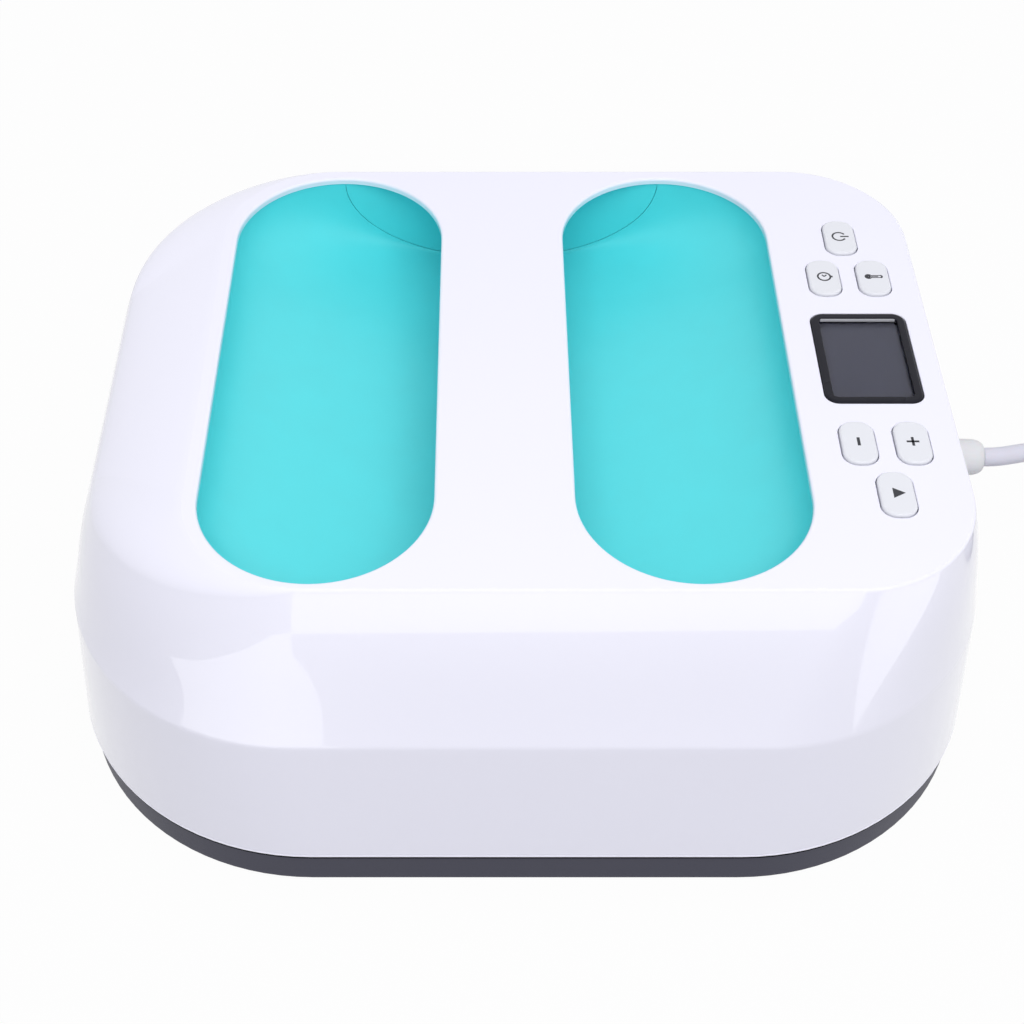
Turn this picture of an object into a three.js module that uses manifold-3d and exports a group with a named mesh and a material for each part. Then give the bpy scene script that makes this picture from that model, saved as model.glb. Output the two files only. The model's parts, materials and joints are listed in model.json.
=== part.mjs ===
// Handheld heat press: a moulded housing over a heated plate, a grip bar that crosses a deep hand tub,
// a display with six keys, and a mains lead. Millimetres, +Z up, X to the side where the lead leaves.
import * as THREE from "three";
import { mergeVertices } from "three/addons/utils/BufferGeometryUtils.js";
import Module from "manifold-3d";

const wasm = await Module();
wasm.setup();

// Driving sizes of the body
const bodyWidth = 345;
const bodyDepth = 290;
const bodyHeight = 130.9;
const bodyRadius = 94.4;
const baseHeight = 15.6;
const wallRise = 58;
const wallLean = 4.6;
const creaseTightening = 8;
const housingWall = 2.6;
const plateProud = 1.2;
const fit = 0.3;
const overrun = 5;

// The shoulder where the slope meets the top: soft on the left, crisp on the other sides
const shoulderLeftInset = 19.7;
const shoulderRightInset = 18;
const shoulderNearInset = 26.6;
const shoulderFarInset = 24.1;
const shoulderLeftTightening = 12;
const shoulderRightRadius = 45.5;
const flatLeftInset = 52.8;
const flatLeftRadius = 43;
const edgeRound = 2;
const softShoulderShare = 0.15;

// Hand tub and grip bar: the wells keep their margins to the flat top's edges and to the display
const wellLeftMargin = 5.2;
const wellNearMargin = 1.5;
const wellFarMargin = 3.75;
const wellPanelGap = 11.15;
const handleWidth = 48.9;
const wellEdge = 1.2;
const tubLip = 0.4;
const tubDepth = 38.4;
const tubWall = 2;
const tubFlange = 5.5;
const tubFlangeThickness = 2;
const tubEndThickness = 2.5;
const handleThickness = 17;
const handleSkirt = 8;
const gripRound = 6;
const gripTongue = 3;

// Base frame and heated parts
const baseInset = 1.5;
const baseEdge = 1.2;
const baseWall = 2.8;
const baseFloor = 3.5;
const shadowGap = 0.6;
const lipWall = 1.8;
const lipClearance = 0.3;
const lipRise = 6;
const lipRoot = 4;
const plateInset = 16.3;
const plateThickness = 8;
const plateEdge = 1.2;
const plateGap = 1;
const collarWall = 2;
const elementDiameter = 7;
const padThickness = 9;
const shieldThickness = 1;

// Control panel on the top: its keys keep their margin to the flat top's right edge
const panelMargin = 8.95;
const bezelWidth = 36.1;
const bezelLength = 51.4;
const bezelRadius = 5;
const bezelFrame = 3.1;
const bezelProud = 0.4;
const bezelDepth = 5.2;
const keyWidth = 12.4;
const keyLength = 21.6;
const keyRadius = 5.3;
const keyProud = 1.1;
const keyGap = 0.35;
const keyTravel = 1;
const keyPairGap = 6.9;
const keyRowGap = 4.5;
const keyBezelGap = 11;

// Mains lead
const cordDiameter = 7.8;
const cordY = 28;
const cordZ = 53.2;
const reliefLength = 21.6;
const coilTurns = 6;
const coilMeanRadius = 43.4;
const coilGap = 0.6;

// Counts of facets
const cornerSteps = 9;
const roundSteps = 5;
const smallSteps = 4;
const sides = 16;
const fewSides = 8;

// Heights that follow from the driving sizes
const seamZ = plateProud + baseHeight;
const creaseZ = seamZ + wallRise;
const topZ = bodyHeight;
const undersideZ = topZ - housingWall;
const tubTopZ = undersideZ - fit;
const baseFloorZ = plateProud + baseFloor;
const elementZ = plateThickness + fit + elementDiameter / 2;
const padLowZ = plateThickness + elementDiameter + 2 * fit;
const padTopZ = padLowZ + padThickness;
const shieldLowZ = padTopZ + fit;
const shieldTopZ = shieldLowZ + shieldThickness;
const quarterTurn = Math.PI / 2;
const upward = new THREE.Vector3(0, 0, 1);

// Plan outlines: rounded rectangles whose left and right corners may differ

function planBox(left, right, near, far, leftRadius, rightRadius) {
  return { left, right, near, far, leftRadius, rightRadius };
}

function centredBox(x, y, width, depth, radius) {
  return planBox(x - width / 2, x + width / 2, y - depth / 2, y + depth / 2, radius, radius);
}

function shrink(box, by) {
  return planBox(
    box.left + by,
    box.right - by,
    box.near + by,
    box.far - by,
    box.leftRadius - by,
    box.rightRadius - by,
  );
}

function outline(box, steps = cornerSteps) {
  const corners = [
    [box.right - box.rightRadius, box.far - box.rightRadius, box.rightRadius],
    [box.left + box.leftRadius, box.far - box.leftRadius, box.leftRadius],
    [box.left + box.leftRadius, box.near + box.leftRadius, box.leftRadius],
    [box.right - box.rightRadius, box.near + box.rightRadius, box.rightRadius],
  ];
  return corners.flatMap(([x, y, radius], corner) =>
    Array.from({ length: steps + 1 }, (_, step) => {
      const turn = (corner + step / steps) * quarterTurn;
      return new THREE.Vector2(x + radius * Math.cos(turn), y + radius * Math.sin(turn));
    }),
  );
}

function circle(x, y, radius, count = sides) {
  return Array.from({ length: count }, (_, step) => {
    const turn = (step / count) * 4 * quarterTurn;
    return new THREE.Vector2(x + radius * Math.cos(turn), y + radius * Math.sin(turn));
  });
}

const creaseRadius = bodyRadius - creaseTightening;
const bodyBox = centredBox(0, 0, bodyWidth, bodyDepth, bodyRadius);
const creaseBox = planBox(
  bodyBox.left + wallLean,
  bodyBox.right - wallLean,
  bodyBox.near + wallLean,
  bodyBox.far - wallLean,
  creaseRadius,
  creaseRadius,
);
const shoulderBox = planBox(
  bodyBox.left + shoulderLeftInset,
  bodyBox.right - shoulderRightInset,
  bodyBox.near + shoulderNearInset,
  bodyBox.far - shoulderFarInset,
  creaseRadius - shoulderLeftTightening,
  shoulderRightRadius,
);
const flatBox = planBox(
  bodyBox.left + flatLeftInset,
  shoulderBox.right - edgeRound,
  shoulderBox.near + edgeRound,
  shoulderBox.far - edgeRound,
  flatLeftRadius,
  shoulderRightRadius - edgeRound,
);

// The panel and the wells share out the flat top
const keyPairHalf = (keyWidth + keyPairGap) / 2;
const keyNearRow = bezelLength / 2 + keyBezelGap + keyLength / 2;
const keyFarRow = keyNearRow + keyLength + keyRowGap;
const panelX = flatBox.right - panelMargin - keyPairHalf - keyWidth / 2;
const wellsLeft = flatBox.left + wellLeftMargin;
const wellsRight = panelX - bezelWidth / 2 - wellPanelGap;
const wellsNear = flatBox.near + wellNearMargin;
const wellsFar = flatBox.far - wellFarMargin;
const handleX = (wellsLeft + wellsRight) / 2;
const wellY = (wellsNear + wellsFar) / 2;
const wellWidth = (wellsRight - wellsLeft - handleWidth) / 2;
const wellLength = wellsFar - wellsNear;

const baseBox = shrink(bodyBox, baseInset);
const plateBox = shrink(baseBox, plateInset);
const openingBox = shrink(plateBox, -plateGap);
const collarBox = shrink(openingBox, -collarWall);
const tubBox = centredBox(
  handleX,
  wellY,
  handleWidth + 2 * (wellWidth + tubLip),
  wellLength + 2 * tubLip,
  wellWidth / 2 + tubLip,
);

// Solids: closed geometry becomes a solid that can be joined and cut

function solid(geometry) {
  const bare = geometry.clone();
  bare.deleteAttribute("normal");
  bare.deleteAttribute("uv");
  const merged = mergeVertices(bare);
  const corners = merged.index.array;
  const faces = [];
  for (let i = 0; i < corners.length; i += 3) {
    const [a, b, c] = [corners[i], corners[i + 1], corners[i + 2]];
    if (a !== b && b !== c && c !== a) faces.push(a, b, c);
  }
  return new wasm.Manifold(
    new wasm.Mesh({
      numProp: 3,
      vertProperties: merged.attributes.position.array,
      triVerts: new Uint32Array(faces),
    }),
  );
}

// A vertical wall of the given outline between two heights, with holes of other outlines
function prism(points, low, high, holes = []) {
  const shape = new THREE.Shape(points);
  shape.holes = holes.map((hole) => new THREE.Path(hole));
  const settings = { depth: high - low, bevelEnabled: false };
  return solid(new THREE.ExtrudeGeometry(shape, settings).translate(0, 0, low));
}

// The same along Y, with the outline given in X and Z
function prismAlongY(points, near, far) {
  const settings = { depth: far - near, bevelEnabled: false };
  const geometry = new THREE.ExtrudeGeometry(new THREE.Shape(points), settings);
  return solid(geometry.rotateX(quarterTurn).translate(0, far, 0));
}

function block(x, y, low, width, depth, height) {
  return solid(new THREE.BoxGeometry(width, depth, height).translate(x, y, low + height / 2));
}

// A round piece from its profile of radius and height
function turned(profile, count = sides) {
  const points = profile.map(([radius, height]) => new THREE.Vector2(radius, height));
  return new THREE.LatheGeometry(points, count).rotateX(quarterTurn);
}

function post(x, y, low, high, radius, count = sides) {
  return prism(circle(x, y, radius, count), low, high);
}

// Rings of points joined one to the next and closed with a fan at both ends
function loft(rings) {
  const count = rings[0].length;
  const faces = [];
  for (let row = 0; row + 1 < rings.length; row++)
    for (let i = 0; i < count; i++) {
      const here = row * count + i;
      const next = row * count + ((i + 1) % count);
      faces.push(here, next, next + count, here, next + count, here + count);
    }
  const last = (rings.length - 1) * count;
  for (let i = 1; i + 1 < count; i++) faces.push(0, i + 1, i, last, last + i, last + i + 1);
  const geometry = new THREE.BufferGeometry();
  const places = rings.flat().flatMap((point) => [point.x, point.y, point.z]);
  geometry.setAttribute("position", new THREE.Float32BufferAttribute(places, 3));
  geometry.setIndex(faces);
  return solid(geometry);
}

function level(points, z) {
  return points.map((point) => new THREE.Vector3(point.x, point.y, z));
}

// A sheet or block of rounded outline with a slanted lower or upper edge
function edgedPrism(box, low, high, lowEdge, highEdge) {
  const rings = [];
  if (lowEdge > 0) rings.push(level(outline(shrink(box, lowEdge)), low));
  rings.push(level(outline(box), low + lowEdge), level(outline(box), high - highEdge));
  if (highEdge > 0) rings.push(level(outline(shrink(box, highEdge)), high));
  return loft(rings);
}

function tube(points, diameter, steps, count) {
  const curve = new THREE.CatmullRomCurve3(points, false, "centripetal");
  const shape = new THREE.Shape(circle(0, 0, diameter / 2, count));
  return solid(new THREE.ExtrudeGeometry(shape, { steps, extrudePath: curve }));
}

function join(pieces) {
  return pieces.reduce((whole, piece) => whole.add(piece));
}

function cut(whole, pieces) {
  return pieces.reduce((rest, piece) => rest.subtract(piece), whole);
}

// The group of named meshes

const press = new THREE.Group();

const colours = {
  shell: [0xf3f3fa, 0.22, 0],
  teal: [0x4fd3de, 0.45, 0],
  slate: [0x4a4a5a, 0.5, 0],
  key: [0xeceeef, 0.5, 0],
  black: [0x26262c, 0.3, 0],
  glass: [0x54565f, 0.1, 0],
  aluminium: [0xb9bcc0, 0.35, 0.9],
  steel: [0xa6a8ac, 0.4, 0.9],
  felt: [0xd9d3c4, 0.95, 0],
  board: [0x2c6b45, 0.5, 0],
  part: [0x3a3c42, 0.55, 0],
  blue: [0x3c6fb5, 0.5, 0],
  cord: [0xdedceb, 0.5, 0],
  brass: [0xc9a860, 0.3, 0.9],
  red: [0xb8483c, 0.5, 0],
};

function add(name, finish, piece) {
  const [color, roughness, metalness] = colours[finish];
  const mesh = piece.getMesh();
  const geometry = new THREE.BufferGeometry();
  geometry.setAttribute("position", new THREE.BufferAttribute(mesh.vertProperties, mesh.numProp));
  geometry.setIndex(new THREE.BufferAttribute(mesh.triVerts, 1));
  geometry.computeVertexNormals();
  const material = new THREE.MeshStandardMaterial({ color, roughness, metalness });
  const node = new THREE.Mesh(geometry, material);
  node.name = name;
  press.add(node);
}

// A pan-head screw: its head's outer face at z, its shank towards up
const screwHeadRadius = 2.9;
const screwHeadHeight = 1.9;
const screwShankRadius = 1.4;
const screwHoleGap = 0.35;
const headPocketRadius = screwHeadRadius + 2 * fit;
const pilotRadius = screwShankRadius + fit;

function screw(x, y, z, length, pointsUp) {
  const geometry = turned(
    [
      [0, 0],
      [screwHeadRadius, 0],
      [screwHeadRadius, screwHeadHeight],
      [screwShankRadius, screwHeadHeight],
      [screwShankRadius, length],
      [0, length],
    ],
    fewSides,
  );
  if (!pointsUp) geometry.rotateX(2 * quarterTurn);
  return solid(geometry.translate(x, y, z));
}

// The moulded body: rings from the seam up the wall, over the crease and round the shoulder

function bodySolid(inset, lowest) {
  const crease = outline(shrink(creaseBox, inset));
  const shoulder = outline(shrink(shoulderBox, inset));
  const flat = outline(shrink(flatBox, inset));
  const top = topZ - inset;
  const rise = top - creaseZ;
  const rings = [level(outline(shrink(bodyBox, inset)), lowest), level(crease, creaseZ)];
  for (let step = 0; step <= roundSteps; step++) {
    const turn = (step / roundSteps) * quarterTurn;
    rings.push(
      crease.map((foot, i) => {
        const run = shoulder[i].distanceTo(flat[i]);
        const soft = softShoulderShare * Math.max(0, run - edgeRound);
        const down = ((edgeRound + soft) / rise) * (1 - Math.sin(turn));
        const across = 1 - Math.cos(turn);
        const place = shoulder[i].clone().lerp(foot, down);
        place.addScaledVector(flat[i].clone().sub(shoulder[i]), across);
        return new THREE.Vector3(place.x, place.y, top - rise * down);
      }),
    );
  }
  return loft(rings);
}

// How far the outer wall has leaned in at a height between the seam and the crease
function leanAt(z) {
  return (wallLean * (z - seamZ)) / wallRise;
}

const postGap = 0.8;
const postRise = 2;
const postRib = 2.2;
const collarReach = bodyRadius - baseInset - plateInset + plateGap + collarWall;
const lipInset = housingWall + (wallLean * (lipRise + overrun)) / (wallRise + overrun) + lipClearance;
const lipReach = bodyRadius - lipInset - lipWall;
const postReach = (collarReach + lipReach) / 2;
const postRadius = (lipReach - collarReach) / 2 - postGap;
const cornerPosts = [1, -1].flatMap((sideX) =>
  [1, -1].map((sideY) => {
    const spread = postReach * Math.cos(quarterTurn / 2);
    return new THREE.Vector2(
      sideX * (bodyWidth / 2 - bodyRadius + spread),
      sideY * (bodyDepth / 2 - bodyRadius + spread),
    );
  }),
);
const postPilotDepth = 16;
const baseScrewLength = 16;

// A corner post for a base screw, held to the wall by a rib above the lip
function cornerPost(place) {
  const top = creaseZ + postRise;
  const ribLow = seamZ + lipRise + fit;
  const reach = bodyRadius - postReach;
  const rib = new THREE.BoxGeometry(reach, postRib, top - ribLow);
  rib.translate(reach / 2, 0, (top + ribLow) / 2);
  rib.rotateZ(Math.atan2(Math.sign(place.y), Math.sign(place.x)));
  const column = post(place.x, place.y, baseFloorZ + fit, top, postRadius);
  return column.add(solid(rib.translate(place.x, place.y, 0)));
}

// Control board and its posts
const boardWidth = 44;
const boardEndMargin = 3;
const boardRadius = 21;
const boardThickness = 1.6;
const boardDrop = 10.2;
const boardPostX = 14;
const boardPostRadius = 3;
const boardScrewLength = 8;
const boardTopZ = undersideZ - boardDrop;
const boardLowZ = boardTopZ - boardThickness;
const boardPosts = [1, -1].flatMap((sideX) =>
  [1, -1].map((sideY) => new THREE.Vector2(panelX + sideX * boardPostX, sideY * keyFarRow)),
);

// Bosses inside the grip bar for its two screws
const handleBossRadius = 4;
const handleBossInset = 44.25;
const handleScrewLength = 14;
const handleLowZ = topZ - handleThickness;
const handleJointZ = undersideZ - handleSkirt;
const barHalf = handleWidth / 2;
const tubEndY = tubBox.far - wellY;
const barReach = tubEndY - fit;
const handleBossY = barReach - handleBossInset;

// Strain relief sizes that the housing's hole follows
const reliefNeckRadius = 6;
const reliefRootRadius = 8;
const reliefWaistRadius = 7.5;
const reliefTipRadius = 4.5;
const reliefDome = 5.5;
const reliefBack = 9;
const reliefBackThickness = 2;
const wallX = bodyWidth / 2 - leanAt(cordZ);

const keys = [
  ["power", 0, keyFarRow],
  ["timer", -keyPairHalf, keyNearRow],
  ["temperature", keyPairHalf, keyNearRow],
  ["minus", -keyPairHalf, -keyNearRow],
  ["plus", keyPairHalf, -keyNearRow],
  ["start", 0, -keyFarRow],
];

function keyBox(x, y, grow) {
  return centredBox(panelX + x, y, keyWidth + 2 * grow, keyLength + 2 * grow, keyRadius + grow);
}

function wellBox(side, grow) {
  const x = handleX + (side * (handleWidth + wellWidth)) / 2;
  return centredBox(x, wellY, wellWidth + 2 * grow, wellLength + 2 * grow, wellWidth / 2 + grow);
}

function buildHousing() {
  const shell = bodySolid(0, seamZ).subtract(bodySolid(housingWall, seamZ - overrun));
  const posts = join(cornerPosts.map(cornerPost));
  const pieces = [shell, posts.intersect(bodySolid(housingWall / 2, plateProud))];
  for (const place of boardPosts)
    pieces.push(post(place.x, place.y, boardTopZ + fit, undersideZ + fit, boardPostRadius, fewSides));
  for (const side of [1, -1]) {
    const x = handleX + side * (barHalf - housingWall / 2);
    const height = undersideZ - handleJointZ;
    pieces.push(block(x, wellY, handleJointZ + fit, housingWall, 2 * barReach, height));
    const bossY = wellY + side * handleBossY;
    const bossLow = handleJointZ + gripTongue + fit;
    pieces.push(post(handleX, bossY, bossLow, undersideZ + fit, handleBossRadius, fewSides));
  }
  const cuts = [];
  for (const side of [1, -1]) {
    cuts.push(prism(outline(wellBox(side, 0)), undersideZ - overrun / 2, topZ + overrun));
    const flare = [
      level(outline(wellBox(side, 0)), topZ - wellEdge),
      level(outline(wellBox(side, 2 * wellEdge)), topZ + wellEdge),
    ];
    cuts.push(loft(flare));
    const bossY = wellY + side * handleBossY;
    cuts.push(post(handleX, bossY, handleJointZ, undersideZ, pilotRadius, fewSides));
  }
  const bezelHole = centredBox(
    panelX,
    0,
    bezelWidth + 2 * fit,
    bezelLength + 2 * fit,
    bezelRadius + fit,
  );
  cuts.push(prism(outline(bezelHole, smallSteps), undersideZ - overrun, topZ + overrun));
  for (const [, x, y] of keys)
    cuts.push(prism(outline(keyBox(x, y, keyGap), smallSteps), undersideZ - overrun, topZ + overrun));
  for (const place of boardPosts)
    cuts.push(post(place.x, place.y, boardTopZ, undersideZ, pilotRadius, fewSides));
  for (const place of cornerPosts)
    cuts.push(post(place.x, place.y, 0, baseFloorZ + postPilotDepth, pilotRadius, fewSides));
  const cordHole = turned([
    [0, -overrun],
    [reliefNeckRadius + fit, -overrun],
    [reliefNeckRadius + fit, housingWall + overrun],
    [0, housingWall + overrun],
  ]);
  cordHole.rotateY(quarterTurn).translate(wallX - housingWall, cordY, cordZ);
  cuts.push(solid(cordHole));
  add("top_housing", "shell", cut(join(pieces), cuts));
}

// The tub: half-elliptic sections whose width follows the rounded outline, from end to end

function tubRings(grow, endRun, above) {
  const radius = tubBox.leftRadius;
  const straightHalf = (tubBox.right - tubBox.left) / 2 - radius;
  const centreY = (tubBox.far - tubBox.near) / 2 - radius;
  const lastTurn = Math.acos(grow / (radius + grow));
  const rows = [];
  for (let step = 0; step <= cornerSteps; step++) {
    const turn = (step / cornerSteps) * lastTurn;
    const half = straightHalf + (radius + grow) * Math.cos(turn);
    rows.push([centreY + (radius + grow) * Math.sin(turn), half]);
  }
  rows.push([tubEndY + endRun, straightHalf + grow]);
  const mirrored = rows.map(([y, half]) => [-y, half]).reverse();
  return [...mirrored, ...rows].map(([y, half]) => {
    const section = [];
    for (let step = 0; step <= 2 * cornerSteps; step++) {
      const turn = (step / cornerSteps) * quarterTurn;
      const x = handleX + half * Math.cos(turn);
      const z = tubTopZ - (tubDepth + grow) * Math.sin(turn);
      section.push(new THREE.Vector3(x, wellY + y, z));
    }
    if (above > 0) {
      section.push(new THREE.Vector3(handleX - half, wellY + y, tubTopZ + above));
      section.push(new THREE.Vector3(handleX + half, wellY + y, tubTopZ + above));
    }
    return section;
  });
}

function buildTub() {
  const endRun = tubEndThickness + 2 * fit;
  const boat = loft(tubRings(tubWall, endRun, 0));
  const hollow = loft(tubRings(0, endRun + overrun, overrun));
  const flangeLow = tubTopZ - tubFlangeThickness;
  const flangeOuter = outline(shrink(tubBox, -tubFlange));
  const flange = prism(flangeOuter, flangeLow, tubTopZ, [outline(tubBox)]);
  const room = bodySolid(housingWall + fit, seamZ);
  add("grip_liner", "teal", boat.subtract(hollow).add(flange).intersect(room));
  const mouth = loft(tubRings(-fit, endRun + overrun, 0));
  const height = tubDepth + overrun;
  for (const [name, side] of [
    ["near", -1],
    ["far", 1],
  ]) {
    const y = wellY + side * (tubEndY + fit / 2 + tubEndThickness / 2);
    const slice = block(
      handleX,
      y,
      flangeLow - fit - height,
      handleWidth + 2 * wellWidth,
      tubEndThickness,
      height,
    );
    add("grip_end_" + name, "teal", mouth.intersect(slice).intersect(room));
  }
}

function buildHandleGrip() {
  const half = barHalf;
  const tongueHalf = barHalf - housingWall - fit;
  const points = [new THREE.Vector2(handleX - half, handleJointZ)];
  for (const side of [-1, 1])
    for (let step = 0; step <= smallSteps; step++) {
      const share = side < 0 ? step / smallSteps : 1 - step / smallSteps;
      const turn = share * quarterTurn;
      const x = half - gripRound + gripRound * Math.cos(turn);
      const z = handleLowZ + gripRound - gripRound * Math.sin(turn);
      points.push(new THREE.Vector2(handleX + side * x, z));
    }
  points.push(
    new THREE.Vector2(handleX + half, handleJointZ),
    new THREE.Vector2(handleX + tongueHalf, handleJointZ),
    new THREE.Vector2(handleX + tongueHalf, handleJointZ + gripTongue),
    new THREE.Vector2(handleX - tongueHalf, handleJointZ + gripTongue),
    new THREE.Vector2(handleX - tongueHalf, handleJointZ),
  );
  const grip = prismAlongY(points, wellY - barReach, wellY + barReach);
  const pocketDepth = screwHeadHeight + 2 * fit;
  const cuts = [-1, 1].flatMap((side) => {
    const y = wellY + side * handleBossY;
    return [
      post(handleX, y, handleLowZ - overrun, handleLowZ + pocketDepth, headPocketRadius),
      post(handleX, y, handleLowZ, topZ, screwShankRadius + screwHoleGap, fewSides),
    ];
  });
  add("handle_grip", "teal", cut(grip, cuts));
  for (const [number, side] of [
    [1, -1],
    [2, 1],
  ]) {
    const z = handleLowZ + pocketDepth - fit - screwHeadHeight;
    const piece = screw(handleX, wellY + side * handleBossY, z, handleScrewLength, true);
    add("handle_screw_" + number, "steel", piece);
  }
}

// Base frame: the dark ring, its floor round the plate, the collar and the lip inside the housing

const clampPostWidth = 5.6;
const clampPostDepth = 20;
const clampGap = 0.6;
const clampHeight = 12;
const clampPostX = collarBox.right + fit + clampPostWidth / 2;
const clampLowZ = cordZ - clampHeight / 2;
const basePocketDepth = screwHeadHeight + fit;

function buildBase() {
  const ringTop = seamZ - shadowGap;
  const rimInner = outline(shrink(baseBox, baseWall));
  const body = edgedPrism(baseBox, plateProud, ringTop, baseEdge, 0);
  const room = prism(rimInner, baseFloorZ, ringTop + overrun);
  const lipOuter = shrink(bodyBox, lipInset);
  const lipInner = outline(shrink(lipOuter, lipWall));
  const lip = prism(outline(lipOuter), seamZ - lipRoot, seamZ + lipRise, [lipInner]);
  const collar = prism(outline(collarBox), plateProud, padTopZ, [outline(openingBox)]);
  const clampPost = block(
    clampPostX,
    cordY,
    plateProud,
    clampPostWidth,
    clampPostDepth,
    clampLowZ - fit - plateProud,
  );
  const opening = prism(outline(openingBox), plateProud - overrun, baseFloorZ + overrun);
  const cuts = cornerPosts.flatMap((place) => [
    post(place.x, place.y, 0, plateProud + basePocketDepth, headPocketRadius, sides),
    post(place.x, place.y, 0, baseFloorZ + overrun, screwShankRadius + screwHoleGap, fewSides),
  ]);
  const frame = join([body.subtract(room), lip, collar, clampPost]);
  add("base_frame", "slate", cut(frame, [opening, ...cuts]));
  cornerPosts.forEach((place, i) => {
    const z = plateProud + basePocketDepth - fit - screwHeadHeight;
    add("base_screw_" + (i + 1), "steel", screw(place.x, place.y, z, baseScrewLength, true));
  });
}

// Power board on its tray, with its parts and leads

const trayMargin = 8.7;
const trayY = 20;
const trayWidth = 74;
const trayDepth = 94;
const trayRadius = 4;
const trayThickness = 2;
const trayLeg = 8;
const trayLegRadius = 3.5;
const trayLegInset = 7;
const trayPeg = 2;
const powerBoardInset = 2;
const powerBoardThickness = 1.6;
const relayWidth = 20;
const relayDepth = 28;
const relayHeight = 16;
const relayX = -19;
const relayY = 22;
const sinkWidth = 28;
const sinkDepth = 38;
const sinkBase = 3;
const sinkHeight = 22;
const sinkFins = 6;
const sinkFin = 1.4;
const sinkX = -17;
const sinkY = -20;
const terminalWidth = 14;
const terminalDepth = 26;
const terminalHeight = 13;
const terminalX = 26;
const terminalY = 8;
const tiltRadius = 5;
const tiltHeight = 14;
const tiltX = 26;
const tiltY = -30;
const ribbonWidth = 14;
const ribbonThickness = 1;
const ribbonX = 6;
const ribbonY = -34;
const wireDiameter = 2.6;
const innerLeadDiameter = 6;
const leadRise = 14;
const trayX = collarBox.right - trayMargin - trayWidth / 2;
const trayLowZ = shieldTopZ + fit + trayLeg;
const trayTopZ = trayLowZ + trayThickness;
const powerLowZ = trayTopZ + trayPeg + fit;
const powerTopZ = powerLowZ + powerBoardThickness;

// Heated plate with its cast bosses, its element, felt and shield

const bossRadius = 4.5;
const bossElementGap = 24.7;
const padHoleGap = 1;
const plateScrewLength = 9;
const elementInsetX = 30;
const elementInsetY = 26;
const elementTrayGap = 13;
const elementEndY = 12;
const elementRise = 26;
const elementBend = 16;
const elementEndBend = 7;
const elementSteps = 100;
const elementSides = 6;
const thermistorLength = 14;
const thermistorRadius = 2.4;
const thermistorTab = 0.8;
const cutoutRadius = 8;
const cutoutCap = 5.6;
const cutoutHeight = 14;
const cutoutBase = 3;
const elementInnerX = trayX - trayWidth / 2 - elementTrayGap;
const outerX = plateBox.right - elementInsetX;
const outerY = plateBox.far - elementInsetY;
const innerY = outerY / 2;
const bossX = outerX - bossElementGap;
const bossY = (outerY + innerY) / 2;
const cutoutY = (innerY + elementEndY) / 2;
const thermistorY = -cutoutY;
const plateBosses = [1, -1].flatMap((sideX) =>
  [1, -1].map((sideY) => new THREE.Vector2(sideX * bossX, sideY * bossY)),
);

// A path of straight runs with each inner corner rounded off, the first and last ones tighter
function roundedPath(points, bendAlong, bendAtEnds) {
  const path = new THREE.CurvePath();
  let from = points[0];
  for (let i = 1; i < points.length; i++) {
    const corner = points[i];
    if (i + 1 === points.length) {
      path.add(new THREE.LineCurve3(from, corner));
      break;
    }
    const bend = i === 1 || i + 2 === points.length ? bendAtEnds : bendAlong;
    const back = from.clone().sub(corner).setLength(bend).add(corner);
    const on = points[i + 1].clone().sub(corner).setLength(bend).add(corner);
    path.add(new THREE.LineCurve3(from, back));
    path.add(new THREE.QuadraticBezierCurve3(back, corner, on));
    from = on;
  }
  return path;
}

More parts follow.
